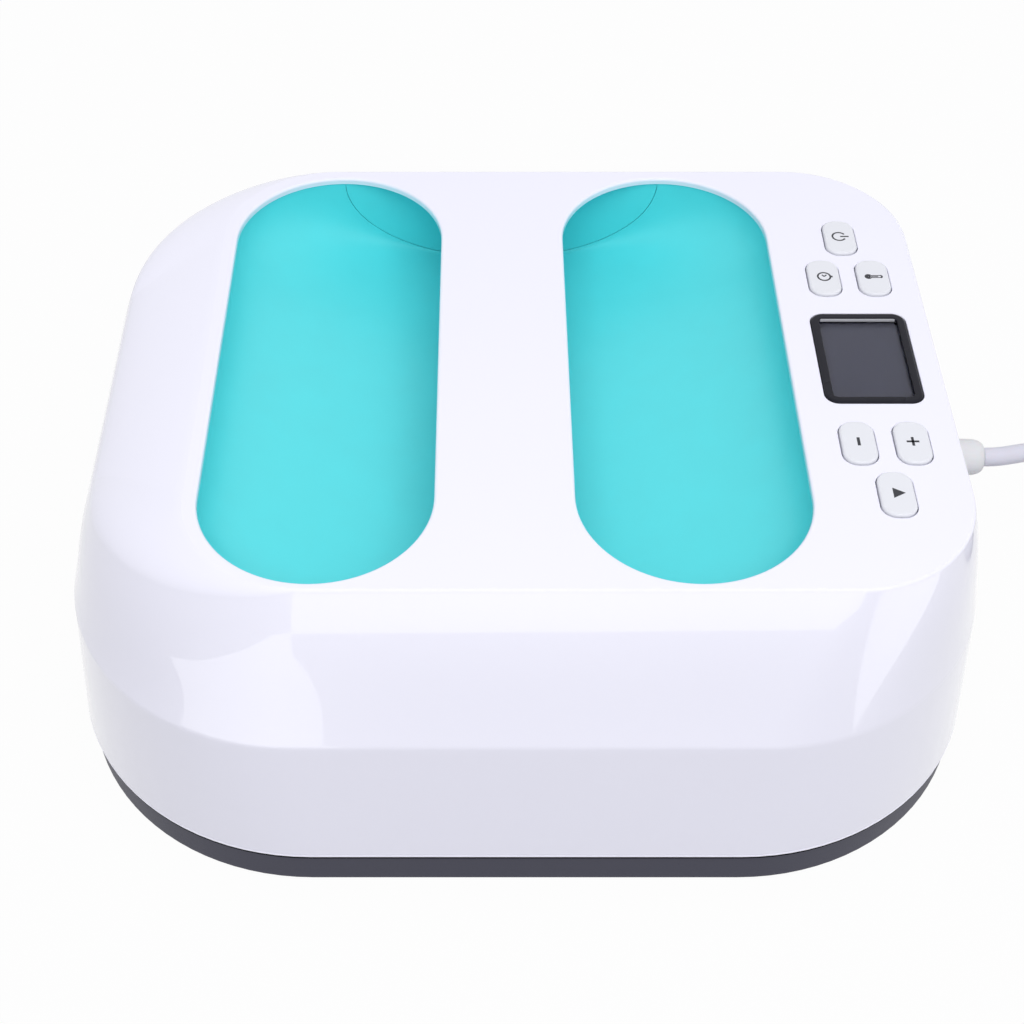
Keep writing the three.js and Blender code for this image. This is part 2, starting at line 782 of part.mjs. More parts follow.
function buildHeater() {
  const bossTop = shieldLowZ - fit;
  const screwBore = shieldTopZ + fit - plateScrewLength;
  const pieces = [edgedPrism(plateBox, 0, plateThickness, plateEdge, 0)];
  const bores = [];
  for (const place of plateBosses) {
    pieces.push(post(place.x, place.y, plateThickness - fit, bossTop, bossRadius));
    bores.push(post(place.x, place.y, screwBore, shieldTopZ, pilotRadius, fewSides));
  }
  add("heat_plate", "aluminium", cut(join(pieces), bores));

  const endTop = elementZ + elementRise;
  const run = [
    [elementInnerX, elementEndY, endTop],
    [elementInnerX, elementEndY, elementZ],
    [-elementInnerX, elementEndY, elementZ],
    [-elementInnerX, innerY, elementZ],
    [outerX, innerY, elementZ],
    [outerX, outerY, elementZ],
    [-outerX, outerY, elementZ],
  ];
  const mirrored = run.map(([x, y, z]) => [x, -y, z]).reverse();
  const points = [...run, ...mirrored].map(([x, y, z]) => new THREE.Vector3(x, y, z));
  const shape = new THREE.Shape(circle(0, 0, elementDiameter / 2, elementSides));
  const path = roundedPath(points, Math.min(elementBend, elementEndY), elementEndBend);
  const settings = { steps: elementSteps, extrudePath: path };
  add("heating_element", "steel", solid(new THREE.ExtrudeGeometry(shape, settings)));

  const leadHole = elementDiameter / 2 + padHoleGap;
  const ends = [1, -1].map((side) => circle(elementInnerX, side * elementEndY, leadHole));
  const slots = [1, -1].map((side) => {
    const width = 2 * leadHole + 2 * elementEndBend;
    const x = elementInnerX - elementEndBend;
    return outline(centredBox(x, side * elementEndY, width, 2 * leadHole, leadHole), smallSteps);
  });
  const legHoles = plateBosses.map((place) => circle(place.x, place.y, bossRadius + padHoleGap));
  const sensorHole = circle(0, thermistorY, thermistorLength / 2 + padHoleGap);
  const cutoutHole = circle(0, cutoutY, cutoutRadius + padHoleGap);
  const padBox = shrink(plateBox, fit);
  const padHoles = [...slots, ...legHoles, sensorHole, cutoutHole];
  add("insulation_pad", "felt", prism(outline(padBox), padLowZ, padTopZ, padHoles));
  const shieldHoles = [
    ...ends,
    ...plateBosses.map((place) => circle(place.x, place.y, pilotRadius, fewSides)),
  ];
  add("heat_shield", "steel", prism(outline(collarBox), shieldLowZ, shieldTopZ, shieldHoles));

  plateBosses.forEach((place, i) => {
    const top = shieldTopZ + fit + screwHeadHeight;
    add("plate_screw_" + (i + 1), "steel", screw(place.x, place.y, top, plateScrewLength, false));
  });

  const seat = plateThickness + fit;
  const tab = block(0, thermistorY, seat, thermistorLength, 2 * thermistorRadius, thermistorTab);
  const bead = post(0, thermistorY, seat, seat + 2 * thermistorRadius, thermistorRadius, fewSides);
  add("thermistor", "brass", tab.add(bead));
  const disc = post(0, cutoutY, seat, seat + cutoutBase, cutoutRadius);
  const cap = post(0, cutoutY, seat + cutoutBase - fit, seat + cutoutHeight, cutoutCap);
  add("thermal_cutout", "aluminium", disc.add(cap));
}

// Display and keys

const windowWidth = bezelWidth - 2 * bezelFrame;
const windowLength = bezelLength - 2 * bezelFrame;
const windowRadius = 1.5;
const windowLedge = 1;
const windowThickness = 1.5;
const windowDrop = 1.2;
const bezelFlange = 2.2;
const bezelFlangeThickness = 1.5;
const keyFlange = 1.2;
const keyFlangeThickness = 1.4;
const keyCrown = 0.8;
const keyStemRadius = 2.4;
const keyPinRadius = 1.5;
const switchSize = 6;
const switchHeight = 3.6;
const switchBite = 0.5;
const switchPinGap = 0.35;

function buildDisplay() {
  const top = topZ + bezelProud;
  const ledgeZ = top - windowDrop;
  const low = top - bezelDepth;
  const frame = centredBox(panelX, 0, bezelWidth, bezelLength, bezelRadius);
  const flangeTop = undersideZ - fit;
  const flange = prism(
    outline(shrink(frame, -bezelFlange), smallSteps),
    flangeTop - bezelFlangeThickness,
    flangeTop,
  );
  const window = centredBox(panelX, 0, windowWidth, windowLength, windowRadius);
  const pocket = shrink(window, -windowLedge);
  const glass = shrink(pocket, fit);
  const body = prism(outline(frame, smallSteps), low, top).add(flange);
  add(
    "lcd_bezel",
    "black",
    cut(body, [
      prism(outline(window, smallSteps), low - overrun, top + overrun),
      prism(outline(pocket, smallSteps), low - overrun, ledgeZ),
    ]),
  );
  const glassTop = ledgeZ - fit;
  const glassLow = glassTop - windowThickness;
  add("lcd_window", "glass", prism(outline(glass, smallSteps), glassLow, glassTop));
  add("lcd_module", "part", prism(outline(glass, smallSteps), boardTopZ + fit, glassLow - fit));
}

function buildKeys() {
  const flangeTop = undersideZ - fit;
  const flangeLow = flangeTop - keyFlangeThickness;
  const switchTop = boardTopZ + fit + switchHeight;
  const stemLow = switchTop + keyTravel + fit;
  for (const [name, x, y] of keys) {
    const cap = keyBox(x, y, 0);
    const flange = prism(outline(shrink(cap, -keyFlange), smallSteps), flangeLow, flangeTop);
    const crown = loft([
      level(outline(cap, smallSteps), flangeLow),
      level(outline(cap, smallSteps), topZ + keyProud - keyCrown),
      level(outline(shrink(cap, keyCrown), smallSteps), topZ + keyProud),
    ]);
    const stem = post(panelX + x, y, stemLow, flangeTop, keyStemRadius, fewSides);
    const pin = post(panelX + x, y, switchTop - switchBite, flangeTop, keyPinRadius, fewSides);
    add("key_" + name, "key", join([crown, flange, stem, pin]));
    const body = block(panelX + x, y, boardTopZ + fit, switchSize, switchSize, switchHeight);
    const boreLow = switchTop - switchBite - keyTravel - fit;
    const boreRadius = keyPinRadius + switchPinGap;
    const bore = post(panelX + x, y, boreLow, switchTop + overrun, boreRadius, fewSides);
    add("switch_" + name, "part", body.subtract(bore));
  }
}

function buildControlBoard() {
  const boardLength = 2 * (keyFarRow + keyLength / 2 + boardEndMargin);
  const board = centredBox(panelX, 0, boardWidth, boardLength, boardRadius);
  const holes = boardPosts.map((place) => circle(place.x, place.y, pilotRadius, fewSides));
  const sheet = prism(outline(board, smallSteps), boardLowZ, boardTopZ, holes);
  add("control_board", "board", sheet);
  boardPosts.forEach((place, i) => {
    const z = boardLowZ - fit - screwHeadHeight;
    add("board_screw_" + (i + 1), "steel", screw(place.x, place.y, z, boardScrewLength, true));
  });
}

function buildPowerBoard() {
  const tray = centredBox(trayX, trayY, trayWidth, trayDepth, trayRadius);
  const legs = [1, -1].flatMap((sideX) =>
    [1, -1].map((sideY) => {
      const x = trayX + sideX * (trayWidth / 2 - trayLegInset);
      const y = trayY + sideY * (trayDepth / 2 - trayLegInset);
      return post(x, y, shieldTopZ + fit, trayTopZ + trayPeg, trayLegRadius, fewSides);
    }),
  );
  const sheet = prism(outline(tray, smallSteps), trayLowZ, trayTopZ);
  add("power_tray", "slate", join([sheet, ...legs]));
  const board = shrink(tray, powerBoardInset);
  add("power_board", "board", prism(outline(board, smallSteps), powerLowZ, powerTopZ));
  const seat = powerTopZ + fit;
  const relay = centredBox(trayX + relayX, trayY + relayY, relayWidth, relayDepth, edgeRound);
  add("relay", "blue", prism(outline(relay, smallSteps), seat, seat + relayHeight));

  const fins = [block(trayX + sinkX, trayY + sinkY, seat, sinkWidth, sinkDepth, sinkBase)];
  const pitch = (sinkWidth - sinkFin) / (sinkFins - 1);
  for (let i = 0; i < sinkFins; i++) {
    const x = trayX + sinkX - (sinkWidth - sinkFin) / 2 + i * pitch;
    fins.push(block(x, trayY + sinkY, seat, sinkFin, sinkDepth, sinkHeight));
  }
  add("heat_sink", "aluminium", join(fins));

  const terminal = block(
    trayX + terminalX,
    trayY + terminalY,
    seat,
    terminalWidth,
    terminalDepth,
    terminalHeight,
  );
  add("terminal_block", "part", terminal);
  const tilt = post(trayX + tiltX, trayY + tiltY, seat, seat + tiltHeight, tiltRadius);
  add("tilt_switch", "red", tilt);

  const ribbonLow = powerTopZ + fit;
  const ribbonHigh = boardLowZ - fit;
  const x = trayX + ribbonX;
  const bow = ribbonWidth / 2;
  const front = [
    [x, ribbonLow],
    [x + bow, ribbonLow + bow],
    [x + bow, ribbonHigh - bow],
    [x, ribbonHigh],
  ];
  const back = front.map(([px, pz]) => [px + ribbonThickness, pz]).reverse();
  const strip = [...front, ...back].map(([px, pz]) => new THREE.Vector2(px, pz));
  const ribbonNear = trayY + ribbonY - ribbonWidth / 2;
  add("ribbon_cable", "felt", prismAlongY(strip, ribbonNear, ribbonNear + ribbonWidth));

  const clampTop = trayX + terminalX;
  const clampZ = seat + terminalHeight + fit;
  for (const [name, side] of [
    ["heater_lead_1", 1],
    ["heater_lead_2", -1],
  ]) {
    const endZ = elementZ + elementRise + fit;
    const spread = side * wireDiameter * 2;
    const y = trayY + terminalY + spread;
    const points = [
      new THREE.Vector3(elementInnerX, side * elementEndY, endZ),
      new THREE.Vector3(elementInnerX, side * elementEndY, endZ + overrun),
      new THREE.Vector3((elementInnerX + trayX) / 2, (side * elementEndY + y) / 2, clampZ + leadRise),
      new THREE.Vector3(clampTop - overrun, y, clampZ + leadRise),
      new THREE.Vector3(clampTop, y, clampZ + overrun / 2),
      new THREE.Vector3(clampTop, y, clampZ),
    ];
    add(name, "red", tube(points, wireDiameter, cornerSteps, fewSides));
  }
}

// Strain relief, clamp and the lead inside

function buildCordEntry() {
  const slant = wallLean / wallRise;
  const backX = wallX - housingWall - fit - reliefBack * slant;
  const rootX = wallX + fit + reliefRootRadius * slant;
  const tipX = wallX + reliefLength;
  const bore = innerLeadDiameter / 2;
  const profile = [
    [0, backX - reliefBackThickness],
    [reliefBack, backX - reliefBackThickness],
    [reliefBack, backX],
    [reliefNeckRadius, backX],
    [reliefNeckRadius, rootX],
    [reliefRootRadius, rootX],
    [reliefWaistRadius, tipX - reliefDome],
  ];
  for (let step = 1; step <= smallSteps; step++) {
    const turn = (step / smallSteps) * quarterTurn;
    const radius = reliefTipRadius + (reliefWaistRadius - reliefTipRadius) * Math.cos(turn);
    profile.push([radius, tipX - reliefDome * (1 - Math.sin(turn))]);
  }
  profile.push([0, tipX]);
  const relief = turned(profile).rotateY(quarterTurn);
  add("strain_relief", "cord", solid(relief.translate(0, cordY, cordZ)));

  const saddle = block(clampPostX, cordY, clampLowZ, clampPostWidth, clampPostDepth, clampHeight);
  const hole = turned([
    [0, -clampPostWidth],
    [bore + clampGap / 2, -clampPostWidth],
    [bore + clampGap / 2, clampPostWidth],
    [0, clampPostWidth],
  ]);
  hole.rotateY(quarterTurn).translate(clampPostX, cordY, cordZ);
  add("cord_clamp", "slate", saddle.subtract(solid(hole)));

  const terminalFace = trayX + terminalX + terminalWidth / 2 + fit;
  const terminalMiddle = powerTopZ + fit + terminalHeight / 2;
  const startX = backX - reliefBackThickness - fit;
  const lead = [
    new THREE.Vector3(startX, cordY, cordZ),
    new THREE.Vector3(clampPostX - clampPostWidth / 2, cordY, cordZ),
    new THREE.Vector3(terminalFace + innerLeadDiameter / 2, cordY, terminalMiddle),
    new THREE.Vector3(terminalFace, cordY, terminalMiddle),
  ];
  add("inner_lead", "part", tube(lead, innerLeadDiameter, cornerSteps, fewSides));
}

// Free cord: its route beside the press, then a two-layer coil and the plug

const cordRoute = [
  [191.5, 28, 53.2],
  [195.8, 28.1, 53.2],
  [200.2, 28.7, 53.2],
  [209.1, 31, 52.8],
  [217.6, 34.3, 50.6],
  [225.5, 38, 46.2],
  [233, 41.5, 39.7],
  [240.3, 44.7, 31.7],
  [247.7, 47.8, 23.4],
  [255.2, 51.1, 15.8],
  [263, 54.9, 9.6],
  [266.9, 56.9, 7.3],
  [271, 59.1, 5.6],
  [279.2, 63.8, 4.1],
  [287.86, 68.8, 4.1],
];
const cordSteps = 44;
const cordSides = 8;
const coilSides = 6;
const coilLoopSteps = 24;
const coilClimbTurns = 0.5;
const plugTail = 36;

class CoilCurve extends THREE.Curve {
  constructor(start, heading) {
    super();
    this.start = start;
    this.heading = heading;
    this.pitch = cordDiameter + coilGap;
    this.outer = coilMeanRadius + (this.pitch * coilTurns) / 4;
    const right = new THREE.Vector3(heading.y, -heading.x, 0);
    this.centre = start.clone().addScaledVector(heading, cordDiameter);
    this.centre.addScaledVector(right, this.outer);
    const length = 4 * quarterTurn * coilMeanRadius * coilTurns + cordDiameter + plugTail;
    this.leadShare = cordDiameter / length;
    this.tailShare = plugTail / length;
  }

  // The radius and height of the spiral after some turns
  spiral(turns) {
    const inward = Math.min(turns, coilTurns - turns);
    const climbStart = (coilTurns - coilClimbTurns) / 2;
    const climbed = THREE.MathUtils.smoothstep(turns, climbStart, climbStart + coilClimbTurns);
    return [this.outer - this.pitch * inward, this.start.z + this.pitch * climbed];
  }

  getPoint(share) {
    const wound = 1 - this.leadShare - this.tailShare;
    if (share < this.leadShare) {
      const along = (share / this.leadShare) * cordDiameter;
      return this.start.clone().addScaledVector(this.heading, along);
    }
    const turns = Math.min(1, (share - this.leadShare) / wound) * coilTurns;
    const [radius, z] = this.spiral(turns);
    const angle = Math.atan2(this.heading.x, -this.heading.y) - turns * 4 * quarterTurn;
    const point = new THREE.Vector3(
      this.centre.x + radius * Math.cos(angle),
      this.centre.y + radius * Math.sin(angle),
      z,
    );
    const tail = Math.max(0, (share - this.leadShare - wound) / this.tailShare) * plugTail;
    return point.addScaledVector(this.heading, tail);
  }
}

// Least gap between two stretches of the coil that are more than half a turn apart
function leastGap(points, diameter, apart) {
  let least = Infinity;
  for (let i = 0; i < points.length; i++)
    for (let j = i + apart; j < points.length; j++)
      least = Math.min(least, points[i].distanceTo(points[j]) - diameter);
  return least;
}

const plugBootRadius = 5.6;
const plugBootLength = 22;
const plugBodyLength = 26;
const plugBodyWidth = 25;
const plugBodyRadius = 8;
const plugFaceThickness = 7;
const bladeWidth = 6.3;
const bladeThickness = 1.5;
const bladeLength = 17.5;
const bladeSpacing = 12.7;
const bladeRise = 4;
const bladeSocket = 2;
const earthRadius = 2.35;
const earthDrop = 7.9;
const earthLength = 20;

function buildCord() {
  const route = cordRoute.map(([x, y, z]) => new THREE.Vector3(x, y, z));
  add("power_cord", "cord", tube(route, cordDiameter, cordSteps, cordSides));
  const end = route[route.length - 1];
  const heading = end.clone().sub(route[route.length - 2]).setZ(0).normalize();
  const curve = new CoilCurve(end.clone().addScaledVector(heading, fit), heading);
  const steps = coilTurns * coilLoopSteps + smallSteps;
  const shape = new THREE.Shape(circle(0, 0, cordDiameter / 2, coilSides));
  const settings = { steps, extrudePath: curve };
  add("cord_coil", "cord", solid(new THREE.ExtrudeGeometry(shape, settings)));
  const samples = curve.getSpacedPoints(coilTurns * coilLoopSteps * smallSteps);
  const apart = (coilLoopSteps * smallSteps) / 2;
  const gap = leastGap(samples, cordDiameter, apart);
  const length = curve.getLength() + new THREE.CatmullRomCurve3(route, false, "centripetal").getLength();
  console.log("least gap of the coil to itself", gap.toFixed(2), "mm; cord", length.toFixed(0), "mm");

  buildPlug(curve.getPoint(1).addScaledVector(heading, fit), heading);
}

// The plug: its boot and body along the heading from its rear end, with two blades and an earth pin
function buildPlug(rear, heading) {
  const half = rear.z - fit;
  const turn = Math.atan2(heading.y, heading.x);
  const place = (geometry) => geometry.rotateZ(turn).translate(rear.x, rear.y, rear.z);
  const section = (along, width, height, radius) =>
    outline(centredBox(0, 0, width, height, radius), smallSteps).map((point) =>
      new THREE.Vector3(along, point.x, point.y).applyAxisAngle(upward, turn).add(rear),
    );
  const boot = 2 * plugBootRadius;
  const faceStart = plugBootLength + plugBodyLength - plugFaceThickness;
  const front = plugBootLength + plugBodyLength;
  const rings = [
    section(0, boot, boot, plugBootRadius),
    section(plugBootLength, boot + fit, boot + fit, plugBootRadius),
    section(plugBootLength + plugFaceThickness, plugBodyWidth - 2 * fit, 2 * half - fit, plugBodyRadius),
    section(faceStart, plugBodyWidth, 2 * half, plugBodyRadius),
    section(front, plugBodyWidth, 2 * half, plugBodyRadius),
  ];
  const blades = [-1, 1].map((side) => [side * (bladeSpacing / 2), bladeRise]);
  const pockets = blades.map(([y, z]) => {
    const width = bladeThickness + 2 * fit;
    const pocket = new THREE.BoxGeometry(2 * bladeSocket, width, bladeWidth + 2 * fit);
    return solid(place(pocket.translate(front, y, z)));
  });
  const earthPocket = turned(
    [
      [0, front - bladeSocket],
      [earthRadius + fit, front - bladeSocket],
      [earthRadius + fit, front + bladeSocket],
      [0, front + bladeSocket],
    ],
    fewSides,
  );
  pockets.push(solid(place(earthPocket.rotateY(quarterTurn).translate(0, 0, -earthDrop))));
  add("plug_body", "cord", cut(loft(rings), pockets));
  const bladeStart = front - bladeSocket + fit;
  blades.forEach(([y, z], i) => {
    const blade = new THREE.BoxGeometry(bladeLength, bladeThickness, bladeWidth);
    blade.translate(bladeStart + bladeLength / 2, y, z);
    add("plug_blade_" + (i + 1), "brass", solid(place(blade)));
  });
  const earth = turned(
    [
      [0, bladeStart],
      [earthRadius, bladeStart],
      [earthRadius, bladeStart + earthLength - earthRadius],
      [earthRadius / 2, bladeStart + earthLength],
      [0, bladeStart + earthLength],
    ],
    fewSides,
  );
  earth.rotateY(quarterTurn).translate(0, 0, -earthDrop);
  add("plug_earth_pin", "brass", solid(place(earth)));
}

buildHousing();
buildTub();
buildHandleGrip();
buildBase();
buildHeater();
buildDisplay();
buildKeys();
buildControlBoard();
buildPowerBoard();
buildCordEntry();
buildCord();

export default press;
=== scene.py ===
"""Looks of a handheld heat press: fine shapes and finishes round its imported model."""

from __future__ import annotations

import json
import logging
import math
from dataclasses import dataclass
from enum import Enum
from typing import Iterable, Sequence

import bmesh
import bpy
from mathutils import Matrix, Vector

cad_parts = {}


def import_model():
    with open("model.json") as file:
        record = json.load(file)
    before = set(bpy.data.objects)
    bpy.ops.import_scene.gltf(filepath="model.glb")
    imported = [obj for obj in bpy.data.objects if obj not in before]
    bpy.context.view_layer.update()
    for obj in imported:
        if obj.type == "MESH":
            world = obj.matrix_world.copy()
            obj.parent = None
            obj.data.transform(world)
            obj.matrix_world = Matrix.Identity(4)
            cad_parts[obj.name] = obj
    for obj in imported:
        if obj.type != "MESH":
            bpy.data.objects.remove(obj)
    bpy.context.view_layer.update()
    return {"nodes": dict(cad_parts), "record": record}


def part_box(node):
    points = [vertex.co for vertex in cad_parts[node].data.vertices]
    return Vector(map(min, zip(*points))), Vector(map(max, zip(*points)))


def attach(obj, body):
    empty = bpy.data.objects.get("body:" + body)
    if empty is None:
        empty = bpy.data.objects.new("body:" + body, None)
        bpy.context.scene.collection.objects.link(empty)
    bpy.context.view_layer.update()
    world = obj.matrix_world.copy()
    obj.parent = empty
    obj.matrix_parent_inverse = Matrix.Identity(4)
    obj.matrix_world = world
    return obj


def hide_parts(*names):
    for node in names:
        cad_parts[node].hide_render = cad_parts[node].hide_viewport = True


LOG = logging.getLogger("heat_press")

MM = 0.001
QUARTER = math.pi / 2
CORNER_STEPS = 24
ROUND_STEPS = 6
SUPPORT = 0.6
FIT = 0.3
TOUCH = 0.0003
UP = (0.0, 0.0, 1.0)
ROOT = "press"

Place = tuple[float, float, float]
Profile = list[tuple[float, float]]


class Key(Enum):
    """The six keys, each with the name of its CAD node."""

    POWER = "key_power"
    TIMER = "key_timer"
    TEMPERATURE = "key_temperature"
    MINUS = "key_minus"
    PLUS = "key_plus"
    START = "key_start"


class Side(Enum):
    """The two sides of the grip bar, each with its sign along X."""

    LEFT = -1
    RIGHT = 1


class TubEnd(Enum):
    """The two flat ends of the hand tub, each with its sign along Y."""

    NEAR = -1
    FAR = 1


class CardPose(Enum):
    """How a studio card is held, as its turn about X: lying face up, or upright and facing +Y."""

    LYING = math.pi
    UPRIGHT = math.pi / 2


@dataclass(frozen=True)
class PlanBox:
    """A rounded rectangle in plan, in millimetres, whose left and right corners may differ."""

    left: float
    right: float
    near: float
    far: float
    left_radius: float
    right_radius: float

    @classmethod
    def centred(cls, x: float, y: float, width: float, depth: float, radius: float) -> PlanBox:
        """Make a box about its middle.

        Args:
            x: Middle of the box along X.
            y: Middle of the box along Y.
            width: Size along X.
            depth: Size along Y.
            radius: Radius of its four corners.

        Returns:
            The box.
        """
        return cls(x - width / 2, x + width / 2, y - depth / 2, y + depth / 2, radius, radius)

    def shrunk(self, by: float) -> PlanBox:
        """Make the same box with every side and corner moved in.

        Args:
            by: How far the sides move in, or out where it is negative.

        Returns:
            The smaller box.
        """
        return PlanBox(
            self.left + by,
            self.right - by,
            self.near + by,
            self.far - by,
            max(self.left_radius - by, 0.0),
            max(self.right_radius - by, 0.0),
        )

    def outline(self, z: float, steps: int = CORNER_STEPS, support: float = SUPPORT) -> list[Vector]:
        """Draw the box anticlockwise, with a point just outside each corner that holds its straights.

        Args:
            z: Height of the points.
            steps: Steps round each corner.
            support: How far outside each corner the extra points lie.

        Returns:
            The points.
        """
        right, left = self.right_radius, self.left_radius
        corners = (
            (self.right - right, self.far - right, right),
            (self.left + left, self.far - left, left),
            (self.left + left, self.near + left, left),
            (self.right - right, self.near + right, right),
        )
        arcs = []
        for corner, (x, y, radius) in enumerate(corners):
            turns = [(corner + step / steps) * QUARTER for step in range(steps + 1)]
            arcs.append(
                [Vector((x + radius * math.cos(t), y + radius * math.sin(t), z)) for t in turns]
            )
        points: list[Vector] = []
        for corner, arc in enumerate(arcs):
            following = arcs[(corner + 1) % len(arcs)]
            points.extend(arc)
            run = following[0] - arc[-1]
            if run.length > 3 * support:
                points.append(arc[-1] + run.normalized() * support)
                points.append(following[0] - run.normalized() * support)
            elif run.length < TOUCH:
                points.pop()
        return points


def eased(value: float, start: float, end: float) -> float:
    """Rise smoothly from 0 to 1 over a stretch.

    Args:
        value: Where to look.
        start: Where the rise starts.
        end: Where it ends.

    Returns:
        The share of the rise.
    """
    share = min(1.0, max(0.0, (value - start) / (end - start)))
    return share * share * (3 - 2 * share)


def quarter_angles(steps: int) -> list[float]:
    """Give angles from 0 to a quarter turn.

    Args:
        steps: Number of equal steps between them.

    Returns:
        The angles, one more than the steps.
    """
    return [step / steps * QUARTER for step in range(steps + 1)]


def node_box(node: str) -> tuple[Place, Place]:
    """Give the box of a CAD node.

    Args:
        node: Name of the node.

    Returns:
        Its lowest and its highest corner, in millimetres.
    """
    low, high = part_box(node)
    return tuple(value / MM for value in low), tuple(value / MM for value in high)


def add_object(name: str, bm: bmesh.types.BMesh) -> bpy.types.Object:
    """Turn a bmesh into an object of the scene, and free it.

    Args:
        name: Name of the new object.
        bm: Its shape.

    Returns:
        The new object.
    """
    mesh = bpy.data.meshes.new(name)
    bm.to_mesh(mesh)
    bm.free()
    made = bpy.data.objects.new(name, mesh)
    bpy.context.scene.collection.objects.link(made)
    return made


def circle(x: float, y: float, z: float, radius: float, steps: int = 32) -> list[Vector]:
    """Draw a level circle.

    Args:
        x: Middle of the circle along X.
        y: Middle of the circle along Y.
        z: Height of the circle.
        radius: Its radius.
        steps: Number of points.

    Returns:
        The points, anticlockwise.
    """
    turns = [4 * QUARTER * step / steps for step in range(steps)]
    return [Vector((x + radius * math.cos(t), y + radius * math.sin(t), z)) for t in turns]


@dataclass
class Ring:
    """A run of vertices and whether its last one joins its first."""

    verts: list[bmesh.types.BMVert]
    closed: bool = True

    def edges(self) -> list[bmesh.types.BMEdge]:
        """Find the edges between the ring's neighbouring vertices.

        Returns:
            The edges in order.
        """
        following = self.verts[1:] + (self.verts[:1] if self.closed else [])
        found = []
        for vert, other in zip(self.verts, following):
            found.append(next(e for e in vert.link_edges if e.other_vert(vert) is other))
        return found


class RingMesh:
    """A mesh drawn ring by ring in millimetres: a first ring, then one extruded ring after another."""

    def __init__(self) -> None:
        """Start an empty mesh."""
        self.bm = bmesh.new()

    def start(self, points: Sequence[Vector], closed: bool = True) -> Ring:
        """Make the first ring of a surface.

        Args:
            points: Where its vertices lie.
            closed: Whether the last point joins the first.

        Returns:
            The ring.
        """
        made = bmesh.ops.create_circle(self.bm, cap_ends=False, segments=len(points), radius=MM)
        verts = made["verts"]
        for vert, point in zip(verts, points):
            vert.co = point * MM
        if not closed:
            last = next(e for e in verts[0].link_edges if e.other_vert(verts[0]) is verts[-1])
            self.bm.edges.remove(last)
        return Ring(verts, closed)

    def draw(self, ring: Ring, points: Sequence[Vector]) -> Ring:
        """Extrude a ring to new places.

        Args:
            ring: The ring to leave from.
            points: Where the new vertices lie, one for each old one.

        Returns:
            The new ring.
        """
        made = bmesh.ops.extrude_edge_only(self.bm, edges=ring.edges())["geom"]
        fresh = {item for item in made if isinstance(item, bmesh.types.BMVert)}
        verts = []
        for vert, point in zip(ring.verts, points):
            new = next(e.other_vert(vert) for e in vert.link_edges if e.other_vert(vert) in fresh)
            new.co = point * MM
            verts.append(new)
        return Ring(verts, ring.closed)

    def stack(self, rings: Sequence[Sequence[Vector]], closed: bool = True) -> tuple[Ring, Ring]:
        """Draw a surface through several rings.

        Args:
            rings: The points of each ring in turn.
            closed: Whether each ring joins its own start.

        Returns:
            The first ring and the last.
        """
        first = last = self.start(rings[0], closed)
        for points in rings[1:]:
            last = self.draw(last, points)
        return first, last

    def cap(self, ring: Ring) -> None:
        """Close a flat ring with one face.

        Args:
            ring: The ring to close.
        """
        bmesh.ops.contextual_create(self.bm, geom=ring.edges())

    def fill(self, rings: Iterable[Ring]) -> None:
        """Fill the flat region between an outer ring and the holes in it.

        Args:
            rings: The outer ring and its holes.
        """
        edges = [edge for ring in rings for edge in ring.edges()]
        bmesh.ops.triangle_fill(self.bm, edges=edges, use_beauty=True)

    def solid(self, rings: Sequence[Sequence[Vector]]) -> None:
        """Draw a surface through rings and close both its ends.

        Args:
            rings: The points of each ring in turn.
        """
        first, last = self.stack(rings)
        self.cap(first)
        self.cap(last)

    def loop(self, rings: Sequence[Sequence[Vector]]) -> None:
        """Draw a surface through rings whose last one joins the first.

        Args:
            rings: The points of each ring in turn.
        """
        first, last = self.stack(rings)
        bmesh.ops.bridge_loops(self.bm, edges=first.edges() + last.edges())

    def turned(self, profile: Profile, place: Matrix, steps: int) -> None:
        """Spin a profile of radius and height, then put it in place.

        Args:
            profile: Points as radius and height, from axis to axis.
            place: Turns and moves the spun shape from its own axis Z, in millimetres.
            steps: Steps round the axis.
        """
        verts = [self.bm.verts.new((radius * MM, 0.0, height * MM)) for radius, height in profile]
        edges = [self.bm.edges.new(pair) for pair in zip(verts, verts[1:])]
        known = set(self.bm.verts) - set(verts)
        bmesh.ops.spin(
            self.bm,
            geom=verts + edges,
            cent=(0.0, 0.0, 0.0),
            axis=UP,
            angle=4 * QUARTER,
            steps=steps,
            use_merge=True,
        )
        spun = [vert for vert in self.bm.verts if vert not in known]
        bmesh.ops.remove_doubles(self.bm, verts=spun, dist=TOUCH * MM)
        spun = [vert for vert in self.bm.verts if vert not in known]
        scaled = Matrix.Scale(MM, 4) @ place @ Matrix.Scale(1 / MM, 4)
        bmesh.ops.transform(self.bm, matrix=scaled, verts=spun)

    def finish(self, name: str, sharp_degrees: float = 35.0) -> bpy.types.Object:
        """Turn the mesh into a smooth-shaded object whose faces point outwards.

        Args:
            name: Name of the new object.
            sharp_degrees: Edges that bend more than this stay sharp.

        Returns:
            The new object.
        """
        bmesh.ops.recalc_face_normals(self.bm, faces=self.bm.faces[:])
        piece = add_object(name, self.bm)
        piece.data.shade_smooth()
        piece.data.set_sharp_from_angle(angle=math.radians(sharp_degrees))
        return piece


